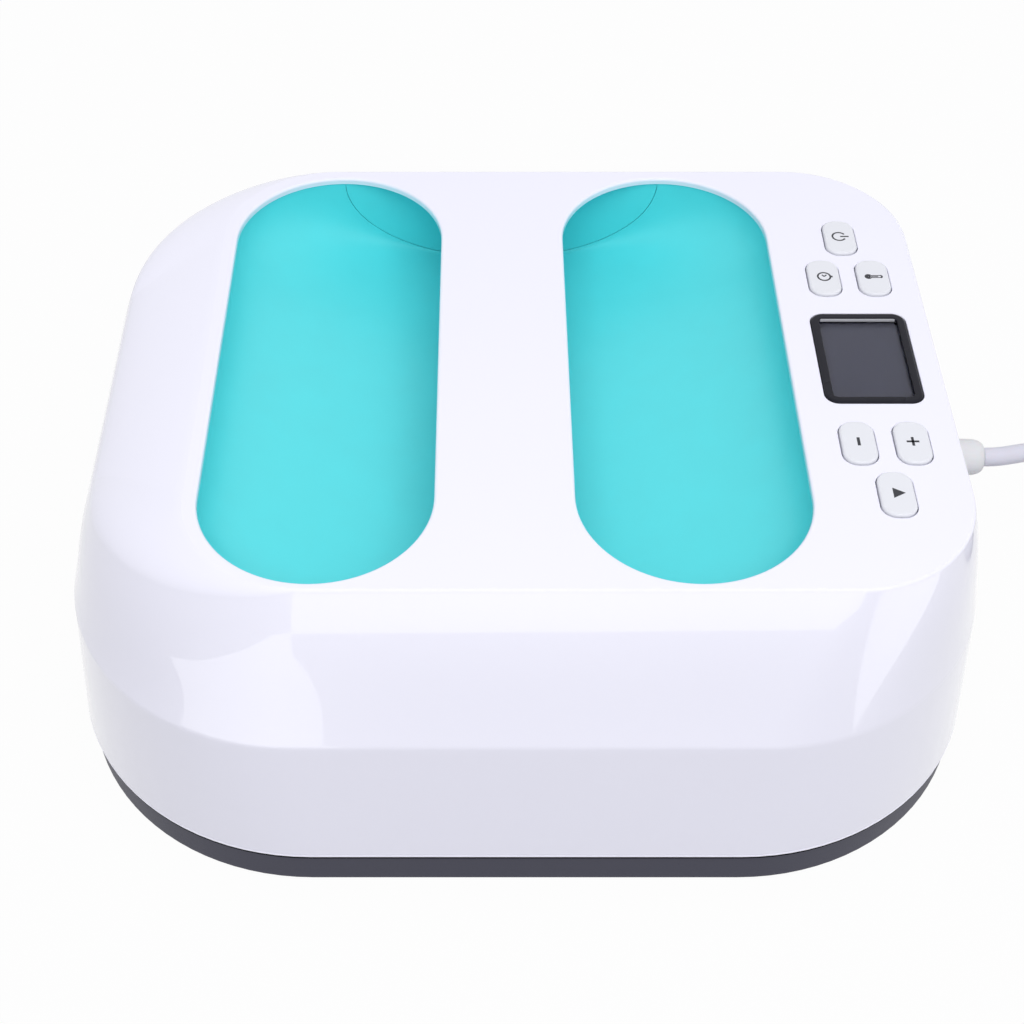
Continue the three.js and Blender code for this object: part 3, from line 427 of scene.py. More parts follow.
def rounded(corners: Sequence[Place], steps: int = ROUND_STEPS) -> Profile:
    """Round the corners of an open profile, with points that hold the straights beside them.

    Args:
        corners: Each corner's inset, height and radius, in millimetres.
        steps: Steps round each corner.

    Returns:
        The profile's points as inset and height.
    """
    points: Profile = []
    places = [Vector((inset, height)) for inset, height, _ in corners]
    for i, (_, _, radius) in enumerate(corners):
        here = places[i]
        if radius == 0 or i in (0, len(corners) - 1):
            points.append(tuple(here))
            continue
        back = (places[i - 1] - here).normalized()
        on = (places[i + 1] - here).normalized()
        points.append(tuple(here + back * (radius + min(radius, SUPPORT))))
        for turn in quarter_angles(steps):
            bend = back * (1 - math.sin(turn)) + on * (1 - math.cos(turn))
            points.append(tuple(here + bend * radius))
        points.append(tuple(here + on * (radius + min(radius, SUPPORT))))
    return points


def swept(box: PlanBox, profile: Profile, steps: int = CORNER_STEPS) -> list[list[Vector]]:
    """Give the rings of a profile that follows a plan outline.

    Args:
        box: The outline at no inset.
        profile: Points as inset and height.
        steps: Steps round each corner of the outline.

    Returns:
        One ring of points for each point of the profile.
    """
    return [box.shrunk(inset).outline(height, steps) for inset, height in profile]


def linear(colour: Sequence[int]) -> tuple[float, float, float, float]:
    """Turn a screen colour into the shader's linear one.

    Args:
        colour: Red, green and blue from 0 to 255.

    Returns:
        Linear red, green, blue and a full alpha.
    """
    shares = [value / 255 for value in colour]
    low = [share / 12.92 if share <= 0.04045 else ((share + 0.055) / 1.055) ** 2.4 for share in shares]
    return (*low, 1.0)


def maths(
    tree: bpy.types.NodeTree,
    operation: str,
    first: bpy.types.NodeSocket,
    second: bpy.types.NodeSocket | float,
) -> bpy.types.NodeSocket:
    """Add a maths node.

    Args:
        tree: The tree that it goes into.
        operation: What it does.
        first: Socket of its first value.
        second: Socket or number of its second value.

    Returns:
        The socket of its result.
    """
    node = tree.nodes.new("ShaderNodeMath")
    node.operation = operation
    tree.links.new(first, node.inputs[0])
    if isinstance(second, float):
        node.inputs[1].default_value = second
    else:
        tree.links.new(second, node.inputs[1])
    return node.outputs[0]


class SurfaceGroup:
    """The shared effect of a moulded or sheet surface: soft patches of tone and gloss over a grain."""

    NAME = "moulded_surface"
    PATCH_DETAIL = 3.0
    GRAIN_DETAIL = 2.0
    MIDDLE = 0.5

    @classmethod
    def get(cls) -> bpy.types.NodeTree:
        """Build the group once and give it.

        Returns:
            The shader node group.
        """
        found = bpy.data.node_groups.get(cls.NAME)
        if found:
            return found
        tree = bpy.data.node_groups.new(cls.NAME, "ShaderNodeTree")
        inputs = (
            ("Colour", "NodeSocketColor"),
            ("Tone Shift", "NodeSocketFloat"),
            ("Roughness", "NodeSocketFloat"),
            ("Gloss Shift", "NodeSocketFloat"),
            ("Patch Scale", "NodeSocketFloat"),
            ("Grain Scale", "NodeSocketFloat"),
            ("Grain Stretch", "NodeSocketVector"),
        )
        for name, kind in inputs:
            tree.interface.new_socket(name, in_out="INPUT", socket_type=kind)
        outputs = (
            ("Colour", "NodeSocketColor"),
            ("Roughness", "NodeSocketFloat"),
            ("Height", "NodeSocketFloat"),
        )
        for name, kind in outputs:
            tree.interface.new_socket(name, in_out="OUTPUT", socket_type=kind)
        nodes, links = tree.nodes, tree.links
        source, sink = nodes.new("NodeGroupInput"), nodes.new("NodeGroupOutput")
        place = nodes.new("ShaderNodeTexCoord")

        patches = nodes.new("ShaderNodeTexNoise")
        patches.inputs["Detail"].default_value = cls.PATCH_DETAIL
        links.new(place.outputs["Object"], patches.inputs["Vector"])
        links.new(source.outputs["Patch Scale"], patches.inputs["Scale"])

        stretch = nodes.new("ShaderNodeVectorMath")
        stretch.operation = "MULTIPLY"
        links.new(place.outputs["Object"], stretch.inputs[0])
        links.new(source.outputs["Grain Stretch"], stretch.inputs[1])
        grain = nodes.new("ShaderNodeTexNoise")
        grain.inputs["Detail"].default_value = cls.GRAIN_DETAIL
        links.new(stretch.outputs["Vector"], grain.inputs["Vector"])
        links.new(source.outputs["Grain Scale"], grain.inputs["Scale"])

        centred = maths(tree, "SUBTRACT", patches.outputs["Fac"], cls.MIDDLE)
        tone = maths(tree, "MULTIPLY", centred, source.outputs["Tone Shift"])
        lifted = maths(tree, "ADD", tone, 1.0)
        shade = nodes.new("ShaderNodeVectorMath")
        shade.operation = "SCALE"
        links.new(source.outputs["Colour"], shade.inputs[0])
        links.new(lifted, shade.inputs["Scale"])
        gloss = maths(tree, "MULTIPLY", centred, source.outputs["Gloss Shift"])
        rough = maths(tree, "ADD", gloss, source.outputs["Roughness"])
        links.new(shade.outputs["Vector"], sink.inputs["Colour"])
        links.new(rough, sink.inputs["Roughness"])
        links.new(grain.outputs["Fac"], sink.inputs["Height"])
        return tree


@dataclass(frozen=True)
class Finish:
    """A surface: its screen colour and gloss, and the patches and grain that its making leaves."""

    name: str
    colour: tuple[int, int, int]
    roughness: float
    metallic: float = 0.0
    specular: float = 0.5
    coat: float = 0.0
    coat_roughness: float = 0.04
    ior: float = 1.5
    transmission: float = 0.0
    sheen: float = 0.0
    subsurface: float = 0.0
    subsurface_depth: float = 2.0
    tone_shift: float = 0.04
    gloss_shift: float = 0.06
    patch_scale: float = 35.0
    grain_scale: float = 3000.0
    grain_depth: float = 0.01
    grain_stretch: Place = (1.0, 1.0, 1.0)

    def material(self) -> bpy.types.Material:
        """Build the material once and give it.

        Returns:
            The procedural material.
        """
        found = bpy.data.materials.get(self.name)
        if found:
            return found
        made = bpy.data.materials.new(self.name)
        made.use_nodes = True
        nodes, links = made.node_tree.nodes, made.node_tree.links
        shader = nodes["Principled BSDF"]
        constants = {
            "Metallic": self.metallic,
            "Specular IOR Level": self.specular,
            "Coat Weight": self.coat,
            "Coat Roughness": self.coat_roughness,
            "IOR": self.ior,
            "Transmission Weight": self.transmission,
            "Sheen Weight": self.sheen,
            "Subsurface Weight": self.subsurface,
            "Subsurface Scale": self.subsurface_depth * MM,
        }
        for socket, value in constants.items():
            shader.inputs[socket].default_value = value
        surface = nodes.new("ShaderNodeGroup")
        surface.node_tree = SurfaceGroup.get()
        values = {
            "Colour": linear(self.colour),
            "Tone Shift": self.tone_shift,
            "Roughness": self.roughness,
            "Gloss Shift": self.gloss_shift,
            "Patch Scale": self.patch_scale,
            "Grain Scale": self.grain_scale,
            "Grain Stretch": self.grain_stretch,
        }
        for socket, value in values.items():
            surface.inputs[socket].default_value = value
        bump = nodes.new("ShaderNodeBump")
        bump.inputs["Strength"].default_value = 1.0
        bump.inputs["Distance"].default_value = self.grain_depth * MM
        links.new(surface.outputs["Height"], bump.inputs["Height"])
        links.new(surface.outputs["Colour"], shader.inputs["Base Color"])
        links.new(surface.outputs["Roughness"], shader.inputs["Roughness"])
        links.new(bump.outputs["Normal"], shader.inputs["Normal"])
        return made


GLOSS_WHITE = Finish(
    "housing_gloss_white", (238, 237, 250), 0.3, coat=1.0, coat_roughness=0.02, tone_shift=0.012,
    gloss_shift=0.04, patch_scale=14.0, grain_scale=420.0, grain_depth=0.001,
)
TEAL = Finish(
    "grip_teal", (88, 221, 227), 0.38, specular=0.5, tone_shift=0.06, gloss_shift=0.1, patch_scale=60.0,
    grain_scale=4200.0, grain_depth=0.012,
)
SLATE = Finish(
    "base_slate", (60, 60, 75), 0.48, specular=0.3, tone_shift=0.08, gloss_shift=0.1, grain_scale=2600.0,
    grain_depth=0.03,
)
KEY_WHITE = Finish(
    "key_soft_white", (226, 227, 233), 0.34, tone_shift=0.015, grain_scale=3600.0, grain_depth=0.012,
)
KEY_PRINT = Finish("key_print", (44, 45, 52), 0.5, grain_scale=5000.0)
BEZEL_BLACK = Finish(
    "bezel_black", (22, 22, 32), 0.28, specular=0.2, gloss_shift=0.05, grain_depth=0.002,
)
DISPLAY_GLASS = Finish(
    "window_clear", (226, 227, 236), 0.03, ior=1.3, transmission=1.0, tone_shift=0.0,
    gloss_shift=0.02, grain_depth=0.0,
)
# Painted light: light grey for the strip that stands in for the lit far inner wall of the display frame.
FAR_WALL_PAINTED_LIGHT = Finish("far_wall_painted_light", (186, 187, 193), 0.4, grain_scale=3000.0)
DISPLAY_GREY = Finish(
    "display_grey", (74, 75, 88), 0.5, specular=0.1, tone_shift=0.03, patch_scale=90.0,
    grain_scale=6000.0,
)
PLATE_COAT = Finish(
    "plate_non_stick", (58, 58, 63), 0.36, metallic=0.35, tone_shift=0.25, gloss_shift=0.15,
    patch_scale=900.0, grain_scale=1500.0, grain_depth=0.02,
)
ALUMINIUM = Finish(
    "sheet_aluminium", (201, 203, 207), 0.34, metallic=1.0, grain_scale=900.0, grain_depth=0.006,
    grain_stretch=(0.05, 1.0, 1.0),
)
STEEL = Finish(
    "plated_steel", (176, 178, 182), 0.3, metallic=1.0, grain_scale=1400.0, grain_depth=0.004,
)
BRASS = Finish(
    "plug_brass", (214, 190, 132), 0.24, metallic=1.0, grain_scale=1200.0, grain_depth=0.004,
    grain_stretch=(1.0, 1.0, 0.08),
)
FELT = Finish(
    "fibre_felt", (222, 216, 200), 0.95, sheen=0.5, tone_shift=0.2, patch_scale=700.0,
    grain_scale=1100.0, grain_depth=0.3,
)
BOARD_GREEN = Finish(
    "board_green", (36, 104, 64), 0.32, coat=0.3, tone_shift=0.3, patch_scale=300.0,
)
# Painted shade: near-black for the ring that stands in for the shadow line in the seam under the shell.
SEAM_PAINTED_SHADOW = Finish("seam_painted_shadow", (9, 9, 12), 0.7, specular=0.05, grain_scale=2600.0, grain_depth=0.02)
PART_BLACK = Finish("part_black", (38, 38, 42), 0.45, grain_scale=2600.0, grain_depth=0.02)
RELAY_BLUE = Finish("relay_case_blue", (46, 92, 168), 0.4, grain_scale=2600.0, grain_depth=0.01)
RIBBON_GREY = Finish("ribbon_grey", (196, 197, 202), 0.45, tone_shift=0.3, patch_scale=700.0)
SLEEVE_RED = Finish("lead_sleeve_red", (176, 54, 44), 0.5, grain_scale=2600.0)
CORD_WHITE = Finish(
    "lead_soft_white", (212, 211, 222), 0.42, specular=0.4, subsurface=0.05, tone_shift=0.02,
    patch_scale=50.0, grain_scale=2400.0, grain_depth=0.01,
)
RELIEF_WHITE = Finish(
    "relief_soft_white", (222, 222, 224), 0.45, specular=0.4, subsurface=0.1, tone_shift=0.02,
    patch_scale=50.0, grain_scale=2400.0, grain_depth=0.012,
)

SLOT_FINISHES = {
    "housing": GLOSS_WHITE,
    "teal_grip": TEAL,
    "base": SLATE,
    "keys": KEY_WHITE,
    "bezel": BEZEL_BLACK,
    "display_glass": DISPLAY_GLASS,
    "plate_coating": PLATE_COAT,
    "aluminium": ALUMINIUM,
    "steel": STEEL,
    "felt": FELT,
    "board": BOARD_GREEN,
    "dark_part": PART_BLACK,
    "relay_blue": RELAY_BLUE,
    "ribbon": RIBBON_GREY,
    "lead_sleeve": SLEEVE_RED,
    "cord": CORD_WHITE,
    "brass": BRASS,
}


def fit_piece(
    piece: bpy.types.Object,
    finish: Finish,
    nodes: Sequence[str] = (),
    body: str = ROOT,
) -> bpy.types.Object:
    """Dress a piece, hide the CAD nodes that it stands for, and hang it on the body that it rides on.

    Args:
        piece: The new piece.
        finish: Its surface.
        nodes: The CAD nodes that it stands for.
        body: The CAD body that it rides on.

    Returns:
        The piece.
    """
    piece.data.materials.clear()
    piece.data.materials.append(finish.material())
    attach(piece, body)
    if nodes:
        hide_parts(*nodes)
    LOG.info("piece %s rides on %s", piece.name, body)
    return piece


@dataclass
class Body:
    """Driving sizes of the moulded body, in millimetres, which the other sub-assemblies read.

    The soft share is how deep the left shoulder's round is for its width. It falls to the far share
    between the two places along Y in soft_fade.
    """

    width: float = 345.0
    depth: float = 290.0
    radius: float = 94.4
    seam_z: float = 16.8
    crease_z: float = 74.8
    top_z: float = 130.9
    wall_lean: float = 4.6
    crease_radius: float = 86.4
    shoulder_left: float = 19.7
    shoulder_right: float = 18.0
    shoulder_near: float = 26.6
    shoulder_far: float = 24.1
    shoulder_left_radius: float = 74.4
    shoulder_right_radius: float = 45.5
    flat_left: float = 52.8
    flat_left_radius: float = 43.0
    edge_round: float = 1.0
    soft_share: float = 0.45
    soft_share_far: float = 0.18
    soft_fade: tuple[float, float] = (-45.0, 90.0)
    wall: float = 2.6
    well_width: float = 82.05
    well_length: float = 230.05
    handle_width: float = 48.9
    handle_x: float = -8.0
    well_y: float = 0.125
    handle_bottom_z: float = 113.9
    handle_joint_z: float = 120.3
    panel_x: float = 127.7

    @property
    def underside_z(self) -> float:
        """Height of the shell's inner face under the top."""
        return self.top_z - self.wall

    @property
    def outer(self) -> PlanBox:
        """Outline at the seam."""
        return PlanBox.centred(0, 0, self.width, self.depth, self.radius)

    @property
    def crease(self) -> PlanBox:
        """Outline where the wall turns into the slope.

        Returns:
            The outline.
        """
        lean = self.wall_lean
        size = (self.width - 2 * lean, self.depth - 2 * lean)
        return PlanBox.centred(0, 0, *size, self.crease_radius)

    @property
    def shoulder(self) -> PlanBox:
        """Outline where the slope would meet the top without a round.

        Returns:
            The outline.
        """
        outer = self.outer
        return PlanBox(
            outer.left + self.shoulder_left,
            outer.right - self.shoulder_right,
            outer.near + self.shoulder_near,
            outer.far - self.shoulder_far,
            self.shoulder_left_radius,
            self.shoulder_right_radius,
        )

    @property
    def flat(self) -> PlanBox:
        """Outline of the flat top.

        Returns:
            The outline.
        """
        shoulder, edge = self.shoulder, self.edge_round
        return PlanBox(
            self.outer.left + self.flat_left,
            shoulder.right - edge,
            shoulder.near + edge,
            shoulder.far - edge,
            self.flat_left_radius,
            self.shoulder_right_radius - edge,
        )

    def soft_share_at(self, y: float) -> float:
        """Give how deep the soft round is for its width, which falls off towards the far corner.

        Args:
            y: Place along Y.

        Returns:
            The share.
        """
        fade = eased(y, *self.soft_fade)
        return self.soft_share + (self.soft_share_far - self.soft_share) * fade

    def well(self, side: Side) -> PlanBox:
        """Give the outline of a hand well.

        Args:
            side: The side of the grip bar that it lies on.

        Returns:
            Its outline.
        """
        x = self.handle_x + side.value * (self.handle_width + self.well_width) / 2
        return PlanBox.centred(x, self.well_y, self.well_width, self.well_length, self.well_width / 2)


@dataclass
class Panel:
    """Sizes of the display and the keys, in millimetres."""

    body: Body
    bezel_width: float = 36.1
    bezel_length: float = 51.4
    bezel_radius: float = 5.0
    bezel_frame: float = 3.1
    bezel_proud: float = 0.4
    bezel_depth: float = 5.2
    bezel_round: float = 0.9
    bezel_inner_round: float = 0.35
    bezel_steps: int = 10
    ledge: float = 1.0
    key_width: float = 12.4
    key_length: float = 21.6
    key_radius: float = 5.3
    key_proud: float = 1.1
    key_gap: float = 0.35
    key_round: float = 0.9
    key_hold: float = 1.5
    key_steps: int = 12
    flange_reach: float = 1.2
    flange_thickness: float = 1.4
    stem_radius: float = 1.5
    stem_steps: int = 20
    pair_half: float = 9.65
    near_row: float = 47.5
    far_row: float = 73.6
    window_drop: float = 1.2
    window_thickness: float = 1.5
    window_bevel: float = 0.2
    module_bevel: float = 0.4
    pane_steps: int = 6
    print_height: float = 0.03
    # Inset and thickness of the light grey strip that paints the lit far inner wall of the frame.
    lit_strip_inset: float = 0.15
    lit_strip_thickness: float = 0.3

    def key_place(self, key: Key) -> tuple[float, float]:
        """Give the middle of a key in plan.

        Args:
            key: The key.

        Returns:
            Its place along X and Y.
        """
        x = self.body.panel_x
        places = {
            Key.POWER: (x, self.far_row),
            Key.TIMER: (x - self.pair_half, self.near_row),
            Key.TEMPERATURE: (x + self.pair_half, self.near_row),
            Key.MINUS: (x - self.pair_half, -self.near_row),
            Key.PLUS: (x + self.pair_half, -self.near_row),
            Key.START: (x, -self.far_row),
        }
        return places[key]

    def key_box(self, key: Key) -> PlanBox:
        """Give the outline of a key's cap.

        Args:
            key: The key.

        Returns:
            Its outline.
        """
        size = (self.key_width, self.key_length, self.key_radius)
        return PlanBox.centred(*self.key_place(key), *size)

    @property
    def key_top(self) -> float:
        """Height of a key's cap, under its print."""
        return self.body.top_z + self.key_proud - self.print_height

    @property
    def bezel_box(self) -> PlanBox:
        """Outline of the display's frame."""
        return PlanBox.centred(
            self.body.panel_x, 0, self.bezel_width, self.bezel_length, self.bezel_radius
        )

    def build(self) -> None:
        """Build the display and the six keys."""
        self._bezel()
        self._display()
        for key in Key:
            self._key(key)
            self._print(key)

    def _bezel(self) -> None:
        """Build the display's frame: a gloss ring with a ledge under the window's edge."""
        top = self.body.top_z + self.bezel_proud
        low = top - self.bezel_depth
        ledge_top = top - self.window_drop
        profile = rounded(
            [
                (self.bezel_frame - self.ledge, low, 0),
                (0, low, 0),
                (0, top, self.bezel_round),
                (self.bezel_frame, top, self.bezel_inner_round),
                (self.bezel_frame, ledge_top, 0),
                (self.bezel_frame - self.ledge, ledge_top, 0),
            ]
        )
        mesh = RingMesh()
        mesh.loop(swept(self.bezel_box, profile, self.bezel_steps))
        fit_piece(mesh.finish("display_bezel"), BEZEL_BLACK, ["lcd_bezel"])

    def _display(self) -> None:
        """Build the glass under the frame, the grey panel below it and a light grey strip that paints the
        light falling on the frame's far inner wall.
        """
        top = self.body.top_z + self.bezel_proud - self.window_drop - FIT
        low = top - self.window_thickness
        pane = self.bezel_box.shrunk(self.bezel_frame - self.ledge + FIT)
        glass = self._slab(pane, low, top, self.window_bevel)
        fit_piece(glass.finish("display_window"), DISPLAY_GLASS, ["lcd_window"])
        bottom = node_box("lcd_module")[0][2]
        module = self._slab(pane, bottom, low - FIT, self.module_bevel)
        fit_piece(module.finish("display_module"), DISPLAY_GREY, ["lcd_module"])
        # Painted light: a light grey strip stands in for the far inner wall of the frame where the light
        # from the front falls.
        opening = self.bezel_box.shrunk(self.bezel_frame + self.lit_strip_inset)
        strip = PlanBox(opening.left, opening.right, opening.far - self.lit_strip_thickness, opening.far, 0, 0)
        mesh = RingMesh()
        mesh.solid([strip.outline(z, 1) for z in (top + self.lit_strip_inset, top + self.window_drop)])
        fit_piece(mesh.finish("display_far_wall_light_strip"), FAR_WALL_PAINTED_LIGHT)

    def _slab(self, box: PlanBox, low: float, high: float, bevel: float) -> RingMesh:
        """Make a flat slab whose upper edge is cut off.

        Args:
            box: Its outline.
            low: Height of its lower face.
            high: Height of its upper face.
            bevel: How much of the edge is cut off.

        Returns:
            The mesh that holds it.
        """
        mesh = RingMesh()
        mesh.solid(swept(box, [(0, low), (0, high - bevel), (bevel, high)], self.pane_steps))
        return mesh

    def _key(self, key: Key) -> None:
        """Build a key: its soft cap, the flange that holds it, and its stem.

        Args:
            key: The key.
        """
        flange_top = self.body.underside_z - FIT
        flange_low = flange_top - self.flange_thickness
        profile = rounded(
            [
                (-self.flange_reach, flange_low, 0),
                (-self.flange_reach, flange_top, 0),
                (0, flange_top, 0),
                (0, self.key_top, self.key_round),
                (self.key_round + self.key_hold, self.key_top, 0),
            ]
        )
        mesh = RingMesh()
        mesh.solid(swept(self.key_box(key), profile, self.key_steps))
        low, high = node_box(key.value)[0][2], flange_low + FIT
        stem = [(0, low), (self.stem_radius, low), (self.stem_radius, high), (0, high)]
        mesh.turned(stem, Matrix.Translation((*self.key_place(key), 0)), self.stem_steps)
        fit_piece(mesh.finish(key.value + "_cap"), KEY_WHITE, [key.value], key.value)

    def _print(self, key: Key) -> None:
        """Print a key's pictogram on its cap.

        Args:
            key: The key.
        """
        sign = Pictogram()
        sign.draw(key)
        place = (*self.key_place(key), self.key_top)
        piece = sign.finish(key.value + "_print", place, self.print_height)
        fit_piece(piece, KEY_PRINT, body=key.value)


class Pictogram:
    """A thin printed sign, drawn with its top towards +X, in millimetres."""

    LINE = 0.7
    THIN_LINE = 0.42
    HAND_LINE = 0.56
    ARC_STEP = 9.0
    LEAST_STEPS = 6

    def __init__(self) -> None:
        """Start an empty sign."""
        self.bm = bmesh.new()

    def draw(self, key: Key) -> None:
        """Draw a key's sign.

        Args:
            key: The key.
        """
        signs = {
            Key.POWER: self._power,
            Key.TIMER: self._timer,
            Key.TEMPERATURE: self._temperature,
            Key.MINUS: self._minus,
            Key.PLUS: self._plus,
            Key.START: self._start,
        }
        signs[key]()

    def _bar(self, x: float, y: float, length: float, width: float, degrees: float = 0.0) -> None:
        """Add a straight bar.

        Args:
            x: Its middle towards the sign's top.
            y: Its middle across.
            length: Its size towards the top.
            width: Its size across.
            degrees: How far it is turned.
        """
        turn = Matrix.Rotation(math.radians(degrees), 4, "Z")
        size = Matrix.Diagonal((length / 2, width / 2, 1.0, 1.0))
        place = Matrix.Translation((x, y, 0)) @ turn @ size
        bmesh.ops.create_grid(self.bm, x_segments=1, y_segments=1, size=1.0, matrix=place)

    def _arc(self, x: float, radius: float, start: float, sweep: float) -> None:
        """Add a line that bends round a point on the sign's axis.

        Args:
            x: Middle of the arc towards the sign's top.
            radius: Radius of the line's middle.
            start: Angle in degrees at which it starts, from the top.
            sweep: How many degrees it covers.
        """
        turn = Matrix.Rotation(math.radians(start), 4, "Z")
        half = self.LINE / 2
        ends = [turn @ Vector((radius + side * half, 0, 0)) for side in (-1, 1)]
        verts = [self.bm.verts.new(Vector((x, 0, 0)) + end) for end in ends]
        edge = self.bm.edges.new(verts)
        bmesh.ops.spin(
            self.bm,
            geom=[*verts, edge],
            cent=(x, 0, 0),
            axis=UP,
            angle=math.radians(sweep),
            steps=max(self.LEAST_STEPS, round(abs(sweep) / self.ARC_STEP)),
            use_merge=abs(sweep) >= 360,
        )

    def _power(self) -> None:
        """Draw a broken ring with a bar at its top."""
        self._arc(-0.3, 2.6, 32, 296)
        self._bar(1.9, 0, 3.4, self.LINE)

    def _timer(self) -> None:
        """Draw a clock's face with two hands."""
        self._arc(0, 2.45, 0, 360)
        self._bar(3.05, 0, 0.6, 1.0)
        self._bar(0.55, 0.55, 1.5, self.HAND_LINE, 45)
        self._bar(-0.35, 0.55, 1.3, self.HAND_LINE, -60)

    def _temperature(self) -> None:
        """Draw a thermometer's bulb and stem."""
        self._arc(-1.9, 0.45, 0, 360)
        self._arc(-1.9, 1.15, 35, 290)
        self._bar(0.9, 0.65, 3.8, self.THIN_LINE)
        self._bar(0.9, -0.65, 3.8, self.THIN_LINE)
        self._arc(2.75, 0.65, -90, 180)
        self._bar(0.3, 0, 3.4, self.THIN_LINE)

    def _minus(self) -> None:
        """Draw a minus sign."""
        self._bar(0, 0, 1.1, 4.2)

    def _plus(self) -> None:
        """Draw a plus sign."""
        self._bar(0, 0, 0.95, 4.5)
        self._bar(0, 0, 4.5, 0.95)

    def _start(self) -> None:
        """Draw a triangle that points across, as on a player's start key."""
        place = Matrix.Rotation(-QUARTER, 4, "Z")
        bmesh.ops.create_circle(self.bm, cap_ends=True, segments=3, radius=2.9, matrix=place)

    def finish(self, name: str, place: Place, thickness: float) -> bpy.types.Object:
        """Give the sign its thickness and put it on its key.

        Args:
            name: Name of the new object.
            place: Middle of the key's top.
            thickness: Thickness of the print.

        Returns:
            The new object.
        """
        bm = self.bm
        bmesh.ops.recalc_face_normals(bm, faces=bm.faces[:])
        down = [face for face in bm.faces if face.normal.z < 0]
        bmesh.ops.reverse_faces(bm, faces=down)
        made = bmesh.ops.extrude_face_region(bm, geom=bm.faces[:], use_keep_orig=True)
        raised = [item for item in made["geom"] if isinstance(item, bmesh.types.BMVert)]
        bmesh.ops.translate(bm, vec=(0, 0, thickness), verts=raised)
        bmesh.ops.recalc_face_normals(bm, faces=bm.faces[:])
        moved = Matrix.Scale(MM, 4) @ Matrix.Translation(place)
        bmesh.ops.transform(bm, matrix=moved, verts=bm.verts[:])
        return add_object(name, bm)


